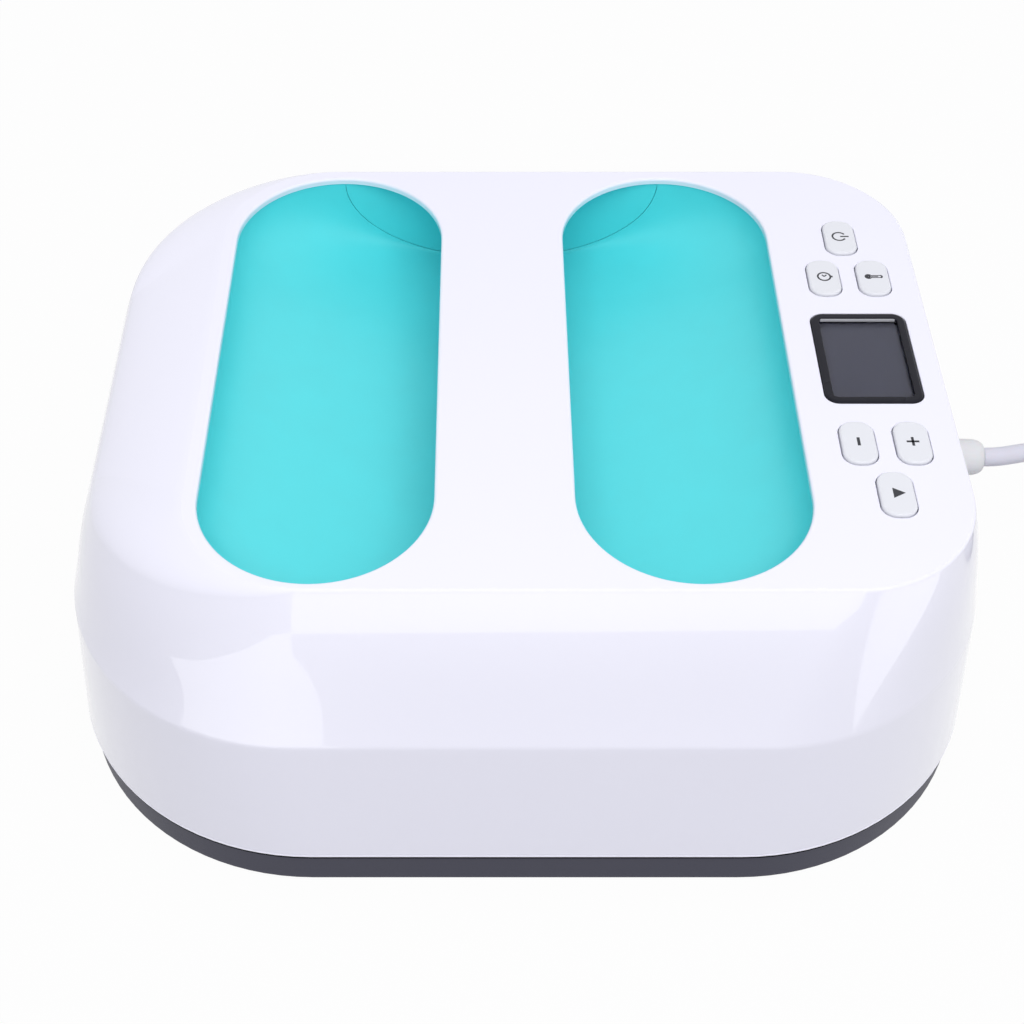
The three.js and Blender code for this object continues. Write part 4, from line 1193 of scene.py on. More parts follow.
@dataclass
class Housing:
    """The moulded shell: its wall, crease, slope, shoulder and flat top with wells and panel holes.

    A hold is how far a ring stands off an edge to keep it crisp. The bead's shares are insets in beads
    and rises in rounds of the seam. The bulge scale brings the bulge's greatest share to 1.
    """

    body: Body
    panel: Panel
    well_edge: float = 1.1
    hole_edge: float = 0.35
    hole_hold: float = 0.2
    hole_wall_hold: float = 0.25
    flat_hold: float = 0.15
    crease_round: float = 0.7
    crease_cut_share: float = 0.1
    seam_round: float = 0.5
    seam_bead: float = 0.25
    bead_shares: tuple[tuple[float, float], ...] = ((0, 2.5), (1, 2), (1, 1.5), (0, 1))
    slope_bulge: float = 1.1143
    bulge_scale: float = 27 / 4
    slope_start_share: float = 0.02
    even_share: float = 0.45
    shoulder_steps: int = 16
    slope_steps: int = 8
    bar_overrun: float = 0.1
    bar_inset: float = 0.02
    bar_round: float = 0.3
    bar_steps: int = 3

    def build(self) -> None:
        """Build the shell."""
        body, panel = self.body, self.panel
        mesh = RingMesh()
        outer, inner = mesh.stack(self._skin_rings())
        tops, bottoms = [outer], [inner]
        holes = [(body.well(side), self.well_edge, CORNER_STEPS) for side in Side]
        holes.append((panel.bezel_box.shrunk(-FIT), self.hole_edge, panel.bezel_steps))
        for key in Key:
            holes.append((panel.key_box(key).shrunk(-panel.key_gap), self.hole_edge, panel.key_steps))
        for box, edge, steps in holes:
            rim, foot = mesh.stack(swept(box, self._hole_profile(edge), steps))
            tops.append(rim)
            bottoms.append(foot)
        mesh.fill(tops)
        mesh.fill(bottoms)
        self._bar_walls(mesh)
        fit_piece(mesh.finish("housing_shell"), GLOSS_WHITE, ["top_housing"])

    def _shoulder_ring(self, inset: float, turn: float) -> list[Vector]:
        """Give a ring of the round between the slope and the flat top.

        Args:
            inset: How far inside the outer skin it lies.
            turn: Angle from the slope, 0, to the flat top, a quarter turn.

        Returns:
            Its points.
        """
        body = self.body
        top = body.top_z - inset
        rise = top - body.crease_z
        boxes = (body.crease, body.shoulder, body.flat)
        lines = [box.shrunk(inset).outline(0) for box in boxes]
        ring = []
        for crease, shoulder, flat in zip(*lines):
            down, across = self._lowering(shoulder, flat, rise, turn)
            place = shoulder.lerp(crease, down) + (flat - shoulder) * across
            ring.append(Vector((place.x, place.y, top - rise * down)))
        return ring

    def _lowering(
        self, shoulder: Vector, flat: Vector, rise: float, turn: float
    ) -> tuple[float, float]:
        """Give how far down the slope and across to the flat a point of the round lies.

        Args:
            shoulder: Where slope and top would meet.
            flat: Where the flat top ends.
            rise: Height of the slope.
            turn: Angle of the point in the round.

        Returns:
            The share down the slope and the share across.
        """
        run = (shoulder - flat).length
        soft = self.body.soft_share_at(shoulder.y) * max(0.0, run - self.body.edge_round)
        bow = 1 - math.sin(turn)
        even = self.even_share * (math.cos(turn) - bow)
        return (self.body.edge_round * bow + soft * (bow + even)) / rise, 1 - math.cos(turn)

    def _slope_ring(self, share: float) -> list[Vector]:
        """Give a ring of the slope, bulged out most at a third of the way down.

        Args:
            share: 0 at the round of the shoulder and 1 at the crease.

        Returns:
            Its points.
        """
        start = self._shoulder_ring(0, 0.0)
        end = self.body.crease.outline(self.body.crease_z)
        bulge = self.bulge_scale * self.slope_bulge * share * (1 - share) ** 2
        ring = []
        for high, low in zip(start, end):
            outward = Vector((low.x - high.x, low.y - high.y, 0))
            ring.append(high.lerp(low, share) + outward.normalized() * bulge)
        return ring

    def _skin_rings(self) -> list[list[Vector]]:
        """Work out the shell's skin, from the flat top down the outside and up the inside.

        Returns:
            Its rings in order.
        """
        body = self.body
        rings = [body.flat.shrunk(self.flat_hold).outline(body.top_z)]
        for turn in reversed(quarter_angles(self.shoulder_steps)):
            rings.append(self._shoulder_ring(0, turn))
        hold = self.crease_round / (body.top_z - body.crease_z)
        shares = [step / self.slope_steps for step in range(1, self.slope_steps)]
        for share in [self.slope_start_share, *shares, 1 - 2 * hold, 1 - hold]:
            rings.append(self._slope_ring(share))
        drop = self.crease_round
        cut = drop * self.crease_cut_share
        rings.append(body.crease.shrunk(cut).outline(body.crease_z - cut))
        for z in (body.crease_z - drop, body.crease_z - 2 * drop):
            rings.append(self._wall_ring(0, z))
        edge, bead = self.seam_round, self.seam_bead
        for inset, rise in self.bead_shares:
            rings.append(self._wall_ring(inset * bead, body.seam_z + rise * edge + bead))
        for turn in quarter_angles(ROUND_STEPS)[1:]:
            z = body.seam_z + edge * (1 - math.sin(turn))
            rings.append(self._wall_ring(edge * (1 - math.cos(turn)), z))
        rings.append(self._wall_ring(body.wall, body.seam_z))
        rings.append(self._wall_ring(body.wall, body.crease_z))
        for turn in quarter_angles(ROUND_STEPS):
            rings.append(self._shoulder_ring(body.wall, turn))
        return rings

    def _wall_ring(self, inset: float, z: float) -> list[Vector]:
        """Give a ring of the wall between the seam and the crease.

        Args:
            inset: How far inside the outer skin it lies.
            z: Its height.

        Returns:
            Its points.
        """
        body = self.body
        share = (z - body.seam_z) / (body.crease_z - body.seam_z)
        low = body.outer.shrunk(inset).outline(z)
        high = body.crease.shrunk(inset).outline(z)
        return [foot.lerp(head, share) for foot, head in zip(low, high)]

    def _hole_profile(self, edge: float) -> Profile:
        """Give the profile of a hole in the top, from its rounded rim down to the inner face.

        Args:
            edge: Radius of its rim.

        Returns:
            The profile's points as inset and height.
        """
        top = self.body.top_z
        profile = [(-edge - self.hole_hold, top)]
        for turn in quarter_angles(ROUND_STEPS):
            profile.append((-edge * (1 - math.sin(turn)), top - edge * (1 - math.cos(turn))))
        return [*profile, (0, top - edge - self.hole_wall_hold), (0, self.body.underside_z)]

    def _bar_walls(self, mesh: RingMesh) -> None:
        """Add the two side walls that run down from the grip bar's top.

        Args:
            mesh: The mesh that they go into.
        """
        body = self.body
        length = body.well_length + 2 * self.bar_overrun
        profile = [(0, body.handle_joint_z + FIT), (0, body.underside_z + FIT)]
        for side in Side:
            reach = body.handle_width / 2 - body.wall / 2 - self.bar_inset
            x = body.handle_x + side.value * reach
            box = PlanBox.centred(x, body.well_y, body.wall, length, self.bar_round)
            mesh.solid(swept(box, profile, self.bar_steps))


@dataclass
class Tub:
    """The teal hand tub that both wells open into, its flat ends and the grip under the bar."""

    body: Body
    lip: float = 0.4
    depth: float = 38.4
    wall: float = 2.0
    flange: float = 5.5
    flange_near: float = 1.2
    flange_thickness: float = 2.0
    end_thickness: float = 2.5
    section_steps: int = 72
    corner_steps: int = 28
    seam: float = 0.16
    grip_round: float = 6.0
    grip_steps: int = 16

    @property
    def top_z(self) -> float:
        """Height of the tub's rim, just under the shell."""
        return self.body.underside_z - FIT

    @property
    def box(self) -> PlanBox:
        """Outline of the tub at its rim.

        Returns:
            The outline.
        """
        body = self.body
        width = body.handle_width + 2 * (body.well_width + self.lip)
        depth = body.well_length + 2 * self.lip
        return PlanBox.centred(body.handle_x, body.well_y, width, depth, body.well_width / 2 + self.lip)

    def build(self) -> None:
        """Build the tub, its two ends and the grip."""
        self._liner()
        for end in TubEnd:
            self._end(end)
        self._grip()

    def _section(self, half: float, y: float, grow: float = 0.0) -> list[Vector]:
        """Draw a half-elliptic section from the right rim to the left one.

        Args:
            half: Half of its width.
            y: Where it lies.
            grow: How much deeper it is than the tub.

        Returns:
            Its points.
        """
        steps = self.section_steps
        turns = [2 * QUARTER * step / steps for step in range(steps + 1)]
        x, deep = self.body.handle_x, self.depth + grow
        return [
            Vector((x + half * math.cos(t), self.body.well_y + y, self.top_z - deep * math.sin(t)))
            for t in turns
        ]

    def _rows(self) -> list[tuple[float, float]]:
        """Work out where the tub's sections lie, from the near end to the far one.

        Returns:
            The place along Y and the half width of each section.
        """
        box = self.box
        radius = box.left_radius
        straight = (box.right - box.left) / 2 - radius
        centre = (box.far - box.near) / 2 - radius
        rows = [(centre - 2 * SUPPORT, straight + radius)]
        for turn in quarter_angles(self.corner_steps):
            rows.append((centre + radius * math.sin(turn), straight + radius * math.cos(turn)))
        rows.append((rows[-1][0] + self.end_thickness + 2 * FIT, straight))
        return [(-y, half) for y, half in reversed(rows)] + rows

    def _liner(self) -> None:
        """Build the tub's skin with its wall, and the flange under the shell."""
        mesh = RingMesh()
        rows = [self._section(half, y) for y, half in self._rows()]
        mesh.stack(rows, closed=False)
        bmesh.ops.recalc_face_normals(mesh.bm, faces=mesh.bm.faces[:])
        upward = sum(face.normal.z for face in mesh.bm.faces)
        if upward < 0:
            bmesh.ops.reverse_faces(mesh.bm, faces=mesh.bm.faces[:])
        bmesh.ops.solidify(mesh.bm, geom=mesh.bm.faces[:], thickness=self.wall * MM)
        high = self.top_z
        low = high - self.flange_thickness
        box = self.box
        inner = box.shrunk(-self.lip)
        outer = PlanBox(
            box.left - self.flange,
            box.right + self.flange,
            box.near - self.flange_near,
            box.far + self.flange_near,
            box.left_radius + self.flange_near,
            box.right_radius + self.flange_near,
        )
        mesh.loop([inner.outline(low), outer.outline(low), outer.outline(high), inner.outline(high)])
        fit_piece(mesh.finish("hand_tub"), TEAL, ["grip_liner"])

    def _end(self, end: TubEnd) -> None:
        """Build one flat end of the tub.

        Args:
            end: Which end it is.
        """
        box, edge = self.box, self.seam
        half = (box.right - box.left) / 2 - box.left_radius - edge
        start = (box.far - box.near) / 2 + FIT / 2
        rings = []
        for depth, inset in ((0, edge), (edge, 0), (self.end_thickness, 0)):
            rings.append(self._section(half - inset, end.value * (start + depth), -edge - inset))
        for ring in rings:
            for point in ring:
                point.z = min(point.z, self.top_z)
        mesh = RingMesh()
        mesh.solid(rings)
        name = end.name.lower()
        fit_piece(mesh.finish("tub_end_" + name), TEAL, ["grip_end_" + name])

    def _grip(self) -> None:
        """Build the soft-cornered grip under the bar, with its tongue between the bar's walls."""
        body = self.body
        (_, near, _), (_, far, top) = node_box("handle_grip")
        half, corner = body.handle_width / 2, self.grip_round
        inner = half - body.wall - FIT
        joint, bottom = body.handle_joint_z, body.handle_bottom_z
        line = [(-half, joint)]
        for turn in quarter_angles(self.grip_steps):
            x = -half + corner * (1 - math.cos(turn))
            line.append((x, bottom + corner * (1 - math.sin(turn))))
        line += [(-x, z) for x, z in reversed(line)]
        line += [(inner, joint), (inner, top), (-inner, top), (-inner, joint)]
        mesh = RingMesh()
        mesh.solid([[Vector((body.handle_x + x, y, z)) for x, z in line] for y in (near, far)])
        fit_piece(mesh.finish("grip_under_bar"), TEAL, ["handle_grip"])


@dataclass
class Screw:
    """A pan-head screw with a cross recess, its head towards the floor, in millimetres.

    The crown is the rounded edge of the head, as insets and heights.
    """

    node: str
    head_radius: float = 2.9
    head_height: float = 1.9
    crown: tuple[tuple[float, float], ...] = ((0.9, 0), (0.3, 0.15), (0, 0.7))
    shank_radius: float = 1.4
    tip_length: float = 1.0
    tip_share: float = 1 / 3
    arm: float = 1.5
    arm_half: float = 0.32
    recess_depth: float = 1.1
    steps: int = 24

    @property
    def middle(self) -> tuple[float, float]:
        """Place of its axis in plan."""
        low, high = node_box(self.node)
        return (low[0] + high[0]) / 2, (low[1] + high[1]) / 2

    def build(self) -> None:
        """Build the screw."""
        (_, _, low), (_, _, high) = node_box(self.node)
        profile = [(self.head_radius - inset, low + rise) for inset, rise in self.crown]
        for radius in (self.head_radius, self.shank_radius):
            profile.append((radius, low + self.head_height))
        profile.append((self.shank_radius, high - self.tip_length))
        profile.append((self.shank_radius * self.tip_share, high))
        mesh = RingMesh()
        rings = [circle(*self.middle, height, radius, self.steps) for radius, height in profile]
        head, tip = mesh.stack(rings)
        mesh.cap(tip)
        mouth, bottom = mesh.stack([self._cross(low), self._cross(low + self.recess_depth)])
        mesh.fill([head, mouth])
        mesh.cap(bottom)
        fit_piece(mesh.finish(self.node + "_head"), STEEL, [self.node])

    def _cross(self, z: float) -> list[Vector]:
        """Draw the outline of the cross recess.

        Args:
            z: Its height.

        Returns:
            Its points.
        """
        half = self.arm_half
        middle = Vector((*self.middle, z))
        corners = [Vector((self.arm, -half, 0)), Vector((self.arm, half, 0)), Vector((half, half, 0))]
        turns = [Matrix.Rotation(arm * QUARTER, 3, "Z") for arm in range(4)]
        return [middle + turn @ corner for turn in turns for corner in corners]


@dataclass
class Base:
    """The dark base frame, the heated plate that stands in it and the screws of the underside."""

    body: Body
    inset: float = 1.5
    edge: float = 1.2
    hold: float = 1.2
    proud: float = 1.2
    wall: float = 2.8
    floor: float = 3.5
    shadow_gap: float = 0.6
    groove: float = 1.1
    groove_height: float = 2.0
    groove_round: float = 0.2
    # Reach, height and gap of the black ring that paints the seam's shadow line.
    shadow_ring_reach: float = 1.15
    shadow_ring_height: float = 0.8
    shadow_ring_gap: float = 0.1
    lip_gap: float = 1.1
    lip_wall: float = 1.8
    lip_rise: float = 6.0
    lip_root: float = 4.0
    plate_inset: float = 16.3
    plate_gap: float = 1.0
    collar: float = 2.0
    collar_round: float = 0.5
    plate_thickness: float = 8.0
    plate_edge: float = 1.2
    plate_top_round: float = 0.4
    pocket: float = 3.5
    pocket_depth: float = 2.2
    hole: float = 1.75

    @property
    def box(self) -> PlanBox:
        """Outline of the base frame."""
        return self.body.outer.shrunk(self.inset)

    def build(self) -> None:
        """Build the frame, the plate and the screws."""
        self._frame()
        self._painted_seam_shadow()
        self._plate()
        for screw in [*self.screws, Screw("handle_screw_1"), Screw("handle_screw_2")]:
            screw.build()

    @property
    def screws(self) -> list[Screw]:
        """The four screws that hold the frame."""
        return [Screw(f"base_screw_{number}") for number in range(1, 5)]

    def _frame(self) -> None:
        """Build the frame with its lip, floor and collar, and the screws' pockets in its floor."""
        body = self.body
        ring_top = body.seam_z - self.shadow_gap
        floor_top = self.proud + self.floor
        lip = body.wall + self.lip_gap - self.inset
        inner = self.plate_inset - self.plate_gap
        collar_top = node_box("insulation_pad")[1][2]
        rim = rounded(
            [
                (self.edge + self.hold, self.proud, 0),
                (0, self.proud, self.edge),
                (0, ring_top - self.groove_height, self.groove_round),
                (self.groove, ring_top - self.groove_height, 0),
                (self.groove, ring_top, 0),
                (lip, ring_top, 0),
                (lip, body.seam_z + self.lip_rise, 0),
                (lip + self.lip_wall, body.seam_z + self.lip_rise, 0),
                (lip + self.lip_wall, body.seam_z - self.lip_root, 0),
                (self.wall, body.seam_z - self.lip_root, 0),
                (self.wall, floor_top, 0),
            ]
        )
        well = rounded(
            [
                (inner - self.collar, floor_top, 0),
                (inner - self.collar, collar_top, 0),
                (inner, collar_top, 0),
                (inner, self.proud, self.collar_round),
                (inner - self.hold, self.proud, 0),
            ]
        )
        mesh = RingMesh()
        under_outer, floor_outer = mesh.stack(swept(self.box, rim))
        floor_inner, under_inner = mesh.stack(swept(self.box, well))
        under, floor = [under_outer, under_inner], [floor_outer, floor_inner]
        step_z = self.proud + self.pocket_depth
        pocket = [(self.pocket, self.proud), (self.pocket, step_z)]
        pocket += [(self.hole, step_z), (self.hole, floor_top)]
        for screw in self.screws:
            first, last = mesh.stack([circle(*screw.middle, z, radius) for radius, z in pocket])
            under.append(first)
            floor.append(last)
        mesh.fill(under)
        mesh.fill(floor)
        fit_piece(mesh.finish("base_ring"), SLATE, ["base_frame"])

    def _painted_seam_shadow(self) -> None:
        """Build the thin black ring that paints the shadow line in the seam between the shell and the
        frame.
        """
        high = self.body.seam_z - self.shadow_ring_gap
        low = high - self.shadow_ring_height
        outer, inner = -self.shadow_ring_reach, self.groove - self.shadow_ring_gap
        mesh = RingMesh()
        mesh.loop(swept(self.box, [(outer, low), (outer, high), (inner, high), (inner, low)]))
        # Painted shade: the ring's black stands in for the shadow in the gap under the shell.
        fit_piece(mesh.finish("seam_shadow_ring"), SEAM_PAINTED_SHADOW)

    def _plate(self) -> None:
        """Build the cast plate with its rounded working edge."""
        box = self.box.shrunk(self.plate_inset)
        profile = rounded(
            [
                (self.plate_edge + self.hold, 0, 0),
                (0, 0, self.plate_edge),
                (0, self.plate_thickness, self.plate_top_round),
                (self.hold, self.plate_thickness, 0),
            ]
        )
        mesh = RingMesh()
        mesh.solid(swept(box, profile))
        fit_piece(mesh.finish("working_plate"), PLATE_COAT, ["heat_plate"])


@dataclass
class Lead:
    """The mains lead: its relief, its free run and coil, and its plug, in millimetres.

    The route of the free run is in metres. A plug section is a distance from the rear, a half width, a
    half height and a corner radius. In the head's sections the third value is how far the half height
    stays below the one that lays the plug on the floor.
    """

    body: Body
    diameter: float = 7.8
    coil_turns: int = 6
    coil_mean_radius: float = 43.4
    coil_gap: float = 0.6
    coil_steps: int = 24
    climb_turns: float = 0.5
    bevel_steps: int = 6
    curve_steps: int = 4
    plug_tail: float = 36.0
    tail_shares: tuple[float, ...] = (1 / 3, 2 / 3, 1)
    relief_root: float = 8.0
    relief_waist: float = 7.5
    relief_tip: float = 4.5
    relief_dome: float = 5.5
    relief_flange: float = 9.0
    relief_flange_thickness: float = 2.0
    relief_neck: float = 6.0
    relief_bevel: float = 0.4
    relief_hold: float = 0.5
    relief_steps: int = 8
    relief_turn_steps: int = 48
    rib_places: tuple[float, ...] = (3, 7, 11, 15, 19)
    rib_radius: float = 6.25
    rib_width: float = 1.8
    rib_steps: int = 32
    plug_corner_steps: int = 8
    plug_support: float = 0.0005
    plug_least_flat: float = 0.01
    plug_boot: tuple[tuple[float, ...], ...] = (
        (0, 4.6, 4.6, 4.6),
        (0.5, 5.3, 5.3, 5.3),
        (20, 5.7, 5.7, 5.7),
        (22, 6.0, 6.0, 5.9),
        (26, 9.6, 9.4, 7.0),
        (29, 12.0, 11.7, 7.8),
    )
    plug_head: tuple[tuple[float, ...], ...] = (
        (33, 12.4, 0.1, 8.0),
        (41, 12.5, 0, 8.0),
        (46.6, 12.5, 0, 8.0),
        (47.6, 12.1, 0.4, 7.6),
        (48, 11.4, 1.1, 6.9),
    )
    route: tuple[Place, ...] = (
        (0.1915, 0.028, 0.0532),
        (0.1958, 0.0281, 0.0532),
        (0.2002, 0.0287, 0.0532),
        (0.2091, 0.031, 0.0528),
        (0.2176, 0.0343, 0.0506),
        (0.2255, 0.038, 0.0462),
        (0.233, 0.0415, 0.0397),
        (0.2403, 0.0447, 0.0317),
        (0.2477, 0.0478, 0.0234),
        (0.2552, 0.0511, 0.0158),
        (0.263, 0.0549, 0.0096),
        (0.2669, 0.0569, 0.0073),
        (0.271, 0.0591, 0.0056),
        (0.2792, 0.0638, 0.0041),
        (0.28786, 0.0688, 0.0041),
    )

    def build(self) -> None:
        """Build the relief, the lead and the plug."""
        self._relief()
        self._plug()
        self._cord()

    def _points(self) -> list[Vector]:
        """Work out the whole lead: its free run, then the coil and its tail.

        Returns:
            Its points, in metres.
        """
        route = [Vector(point) for point in self.route]
        heading = (route[-1] - route[-2]).normalized()
        diameter, pitch = self.diameter * MM, (self.diameter + self.coil_gap) * MM
        outer = self.coil_mean_radius * MM + pitch * self.coil_turns / 4
        right = Vector((heading.y, -heading.x, 0))
        start = route[-1] + heading * (diameter + FIT * MM)
        centre = start + right * outer
        climb_start = (self.coil_turns - self.climb_turns) / 2
        points = route + [route[-1] + heading * diameter / 2]
        for step in range(self.coil_turns * self.coil_steps + 1):
            turns = step / self.coil_steps
            rise = eased(turns, climb_start, climb_start + self.climb_turns)
            radius = outer - pitch * min(turns, self.coil_turns - turns)
            angle = math.atan2(heading.x, -heading.y) - turns * 4 * QUARTER
            offset = Vector((radius * math.cos(angle), radius * math.sin(angle), pitch * rise))
            points.append(centre + offset)
        for share in self.tail_shares:
            points.append(start + heading * self.plug_tail * MM * share + Vector((0, 0, pitch)))
        return points

    def _cord(self) -> None:
        points = self._points()
        curve = bpy.data.curves.new("mains_lead", "CURVE")
        curve.dimensions = "3D"
        curve.bevel_depth = self.diameter / 2 * MM
        curve.bevel_resolution = self.bevel_steps
        curve.resolution_u = self.curve_steps
        curve.use_fill_caps = True
        spline = curve.splines.new("BEZIER")
        spline.bezier_points.add(len(points) - 1)
        for knot, point in zip(spline.bezier_points, points):
            knot.co = point
            knot.handle_left_type = knot.handle_right_type = "AUTO"
        lead = bpy.data.objects.new("mains_lead", curve)
        bpy.context.scene.collection.objects.link(lead)
        fit_piece(lead, CORD_WHITE, ["power_cord", "cord_coil"])
        length = sum((b - a).length for a, b in zip(points, points[1:]))
        LOG.info("the lead is %.3f m long", length)

    def _relief(self) -> None:
        """Build the domed relief at the wall."""
        (back, _, _), (tip, _, _) = node_box("strain_relief")
        y, z = self.route[0][1] / MM, self.route[0][2] / MM
        body, root, neck = self.body, self.relief_root, self.relief_neck
        slant = body.wall_lean / (body.crease_z - body.seam_z)
        wall = body.outer.right - slant * (z - body.seam_z - root) + FIT
        front = back + self.relief_flange_thickness
        profile = [(0, back), (self.relief_flange, back), (self.relief_flange, front)]
        profile += [(neck, front), (neck, wall)]
        profile += [(root - self.relief_bevel, wall), (root, wall + self.relief_bevel)]
        profile += [(self.relief_waist, tip - self.relief_dome - self.relief_hold)]
        drop = self.relief_waist - self.relief_tip
        for turn in quarter_angles(self.relief_steps):
            radius = self.relief_tip + drop * math.cos(turn)
            profile.append((radius, tip - self.relief_dome * (1 - math.sin(turn))))
        profile += [(self.diameter / 2, tip), (0, tip)]
        mesh = RingMesh()
        place = Matrix.Translation((0, y, z)) @ Matrix.Rotation(QUARTER, 4, "Y")
        mesh.turned(profile, place, self.relief_turn_steps)
        fit_piece(mesh.finish("lead_relief"), RELIEF_WHITE, ["strain_relief"])

    def _plug(self) -> None:
        """Build the plug's moulding, with the ribbed boot that the lead runs into."""
        points = self._points()
        heading = (points[-1] - points[-2]).normalized()
        rear = (points[-1] + heading * FIT * MM) / MM
        place = Matrix.Translation(rear) @ Matrix.Rotation(math.atan2(heading.y, heading.x), 4, "Z")
        full = rear.z - FIT
        head = [(along, wide, full - lower, radius) for along, wide, lower, radius in self.plug_head]
        rings = []
        for along, wide, high, radius in [*self.plug_boot, *head]:
            corner = min(radius, min(wide, high) - self.plug_least_flat)
            box = PlanBox.centred(0, 0, 2 * wide, 2 * high, corner)
            line = box.outline(0, self.plug_corner_steps, self.plug_support)
            rings.append([place @ Vector((along, point.x, point.y)) for point in line])
        mesh = RingMesh()
        mesh.solid(rings)
        turn = place @ Matrix.Rotation(QUARTER, 4, "Y")
        radius = self.rib_radius
        for start in self.rib_places:
            end = start + self.rib_width
            mesh.turned([(0, start), (radius, start), (radius, end), (0, end)], turn, self.rib_steps)
        fit_piece(mesh.finish("plug_moulding"), CORD_WHITE, ["plug_body"])


def area_light(name: str, size: tuple[float, float], energy: float) -> bpy.types.Object:
    """Make a rectangular light.

    Args:
        name: Its name.
        size: Its width and height, in metres.
        energy: Its power in watts.

    Returns:
        The light's object.
    """
    data = bpy.data.lights.new(name, "AREA")
    data.shape = "RECTANGLE"
    data.size, data.size_y = size
    data.energy = energy
    light = bpy.data.objects.new(name, data)
    bpy.context.scene.collection.objects.link(light)
    return light


@dataclass(frozen=True)
class Card:
    """A bright card that shows only in glossy surfaces. A radiance of 1 looks white."""

    name: str
    place: Place
    size: tuple[float, float]
    degrees: float
    radiance: float
    pose: CardPose = CardPose.LYING

    def build(self) -> None:
        """Lay or stand the card at its place, in metres, turned about Z."""
        width, length = self.size
        card = area_light(self.name, self.size, self.radiance * math.pi * width * length)
        card.location = self.place
        card.rotation_euler = (self.pose.value, 0, math.radians(self.degrees))
        card.visible_camera = card.visible_diffuse = False


@dataclass(frozen=True)
class Softbox:
    """A softbox that faces a point, both in metres, and doesn't show in glossy surfaces."""

    name: str
    place: Place
    target: Place
    size: tuple[float, float]
    energy: float

    def build(self) -> None:
        """Hang the softbox."""
        lamp = area_light(self.name, self.size, self.energy)
        lamp.location = self.place
        aim = Vector(self.target) - Vector(self.place)
        lamp.rotation_euler = aim.to_track_quat("-Z", "Y").to_euler()
        lamp.visible_glossy = False


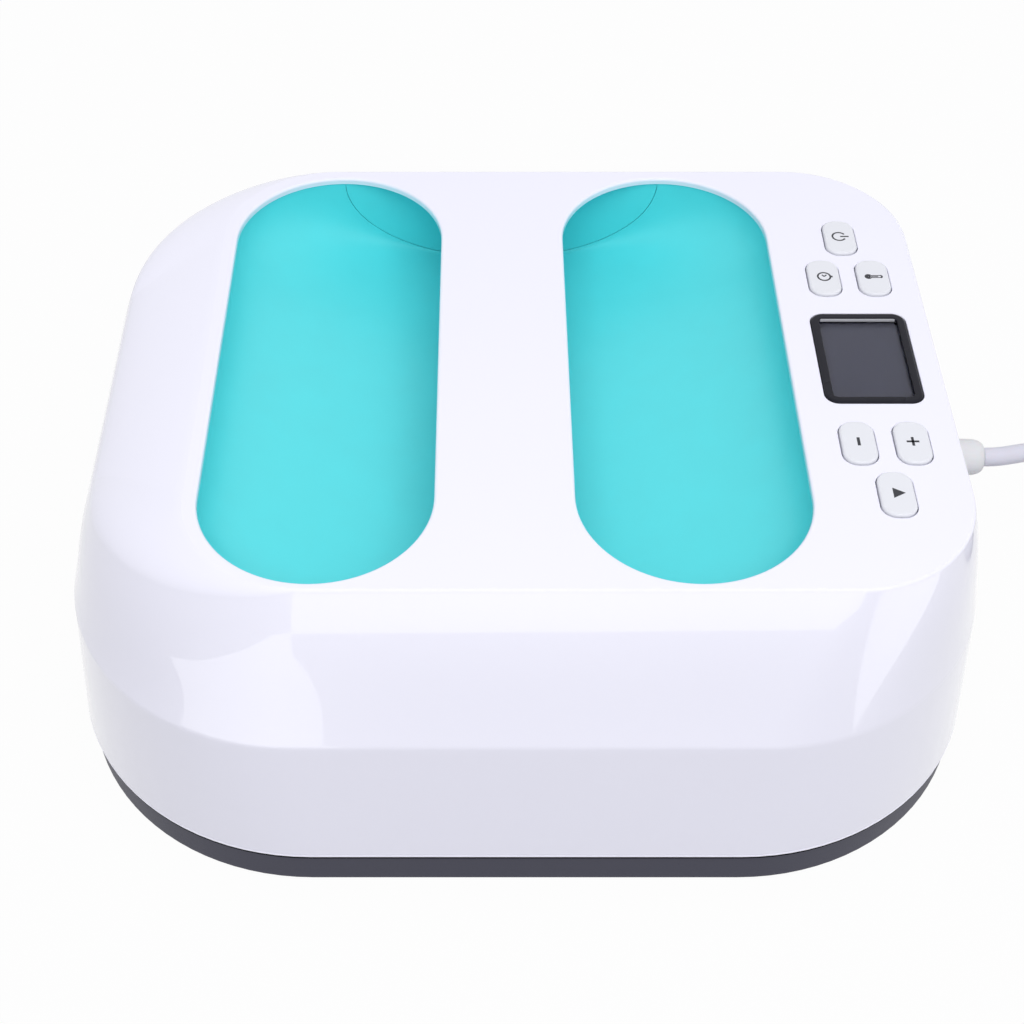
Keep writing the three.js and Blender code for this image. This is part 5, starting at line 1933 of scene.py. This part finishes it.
class Studio:
    """The camera, lights, world and floor. The camera's place is in millimetres."""

    CAMERA = (-14.72, -529.54, 578.5)
    LENS = 64.92
    SENSOR = 36.0
    SHIFT = 0.02605
    PITCH = 45.0
    CLIP = (0.01, 20.0)
    FLOOR_HALF = 6.0
    FLOOR_GREY = (0.5, 0.5, 0.51, 1.0)
    FLOOR_ROUGHNESS = 0.8
    FLOOR_GLOW = 0.97
    WHITE = (1.0, 1.0, 1.0, 1.0)
    SKY_TINT = (0.96, 0.97, 1.0, 1.0)
    SKY = 0.67
    SKY_LEAN = 0.14
    SOFTBOX = Softbox("softbox_high", (0.12, -0.72, 1.45), (0, 0, 0.1), (1.4, 1.1), 13.4)
    CARDS = (
        Card("card_left", (-0.42, -1.55, 0.004), (0.34, 2.5), -8, 1.36),
        Card("card_right", (0.54, -0.52, 0.004), (0.35, 0.8), 25, 1.25),
        Card("card_front", (0.16, -1.8, 0.28), (0.92, 0.5), 0, 1.44, CardPose.UPRIGHT),
    )

    def build(self) -> None:
        """Set up the view and the light."""
        scene = bpy.context.scene
        scene.view_settings.view_transform = "Standard"
        self._camera()
        self._world()
        self._floor()
        for light in (self.SOFTBOX, *self.CARDS):
            light.build()

    def _camera(self) -> None:
        """Place the camera at the photograph's view."""
        data = bpy.data.cameras.new("camera")
        data.lens = self.LENS
        data.sensor_width = self.SENSOR
        data.shift_x = self.SHIFT
        data.clip_start, data.clip_end = self.CLIP
        camera = bpy.data.objects.new("camera", data)
        camera.location = Vector(self.CAMERA) * MM
        camera.rotation_euler = (math.radians(self.PITCH), 0, 0)
        bpy.context.scene.collection.objects.link(camera)
        bpy.context.scene.camera = camera

    def _world(self) -> None:
        """Give pale light that is fuller from the right, and a white backdrop to what sees it."""
        world = bpy.data.worlds.new("studio")
        world.use_nodes = True
        nodes, links = world.node_tree.nodes, world.node_tree.links
        light = nodes["Background"]
        light.inputs["Color"].default_value = self.SKY_TINT
        place = nodes.new("ShaderNodeTexCoord")
        parts = nodes.new("ShaderNodeSeparateXYZ")
        links.new(place.outputs["Generated"], parts.inputs["Vector"])
        fuller = nodes.new("ShaderNodeMapRange")
        fuller.inputs["From Min"].default_value = -1.0
        fuller.inputs["To Min"].default_value = self.SKY * (1 - self.SKY_LEAN)
        fuller.inputs["To Max"].default_value = self.SKY * (1 + self.SKY_LEAN)
        links.new(parts.outputs["X"], fuller.inputs["Value"])
        links.new(fuller.outputs["Result"], light.inputs["Strength"])
        seen = nodes.new("ShaderNodeBackground")
        seen.inputs["Color"].default_value = self.WHITE
        seen.inputs["Strength"].default_value = 1.0
        share = self._seen_share(world.node_tree)
        shown = self._mix(world.node_tree, share, light.outputs[0], seen.outputs[0])
        links.new(shown, nodes["World Output"].inputs["Surface"])
        bpy.context.scene.world = world

    def _floor(self) -> None:
        """Lay the plain pale floor just under the object, clear when it is seen from below."""
        bm = bmesh.new()
        place = Matrix.Translation((0, 0, -FIT * MM))
        bmesh.ops.create_grid(bm, x_segments=1, y_segments=1, size=self.FLOOR_HALF, matrix=place)
        floor = add_object("floor", bm)
        material = bpy.data.materials.new("floor_pale")
        material.use_nodes = True
        tree = material.node_tree
        shader = tree.nodes["Principled BSDF"]
        shader.inputs["Base Color"].default_value = self.FLOOR_GREY
        shader.inputs["Roughness"].default_value = self.FLOOR_ROUGHNESS
        shader.inputs["Specular IOR Level"].default_value = 0.0
        glow = tree.nodes.new("ShaderNodeEmission")
        glow.inputs["Strength"].default_value = 1.0
        faint = maths(tree, "MULTIPLY", self._seen_share(tree), self.FLOOR_GLOW)
        above = self._mix(tree, faint, shader.outputs[0], glow.outputs[0])
        side = tree.nodes.new("ShaderNodeNewGeometry")
        clear = tree.nodes.new("ShaderNodeBsdfTransparent")
        shown = self._mix(tree, side.outputs["Backfacing"], above, clear.outputs[0])
        tree.links.new(shown, tree.nodes["Material Output"].inputs["Surface"])
        floor.data.materials.append(material)

    @staticmethod
    def _mix(
        tree: bpy.types.NodeTree,
        share: bpy.types.NodeSocket,
        first: bpy.types.NodeSocket,
        second: bpy.types.NodeSocket,
    ) -> bpy.types.NodeSocket:
        """Mix two shaders.

        Args:
            tree: The tree that they are in.
            share: Socket of the second one's share.
            first: Socket of the first shader.
            second: Socket of the second shader.

        Returns:
            The socket of the mix.
        """
        mix = tree.nodes.new("ShaderNodeMixShader")
        for source, place in zip((share, first, second), mix.inputs):
            tree.links.new(source, place)
        return mix.outputs[0]

    @staticmethod
    def _seen_share(tree: bpy.types.NodeTree) -> bpy.types.NodeSocket:
        """Add nodes that give 1 to rays from the camera, off mirrors and through glass.

        Args:
            tree: The tree that they go into.

        Returns:
            The socket of their result.
        """
        path = tree.nodes.new("ShaderNodeLightPath")
        share = path.outputs["Is Camera Ray"]
        for ray in ("Is Transmission Ray", "Is Glossy Ray"):
            share = maths(tree, "MAXIMUM", share, path.outputs[ray])
        return share


def dress_nodes(frame: dict) -> None:
    """Give each CAD node that still shows the finish of its material slot.

    Args:
        frame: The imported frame.
    """
    slots = {part["node"]: part["material_slot"] for part in frame["record"]["subparts"]}
    for name, node in frame["nodes"].items():
        if node.hide_render:
            continue
        material = SLOT_FINISHES[slots[name]].material()
        for holder in node.material_slots:
            holder.material = material


def main() -> None:
    """Build the view, the lead and every sub-assembly in order."""
    logging.basicConfig(level=logging.INFO, format="%(name)s: %(message)s")
    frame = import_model()
    Studio().build()
    body = Body()
    panel = Panel(body)
    Lead(body).build()
    Housing(body, panel).build()
    Tub(body).build()
    Base(body).build()
    panel.build()
    dress_nodes(frame)


if __name__ == "__main__":
    main()
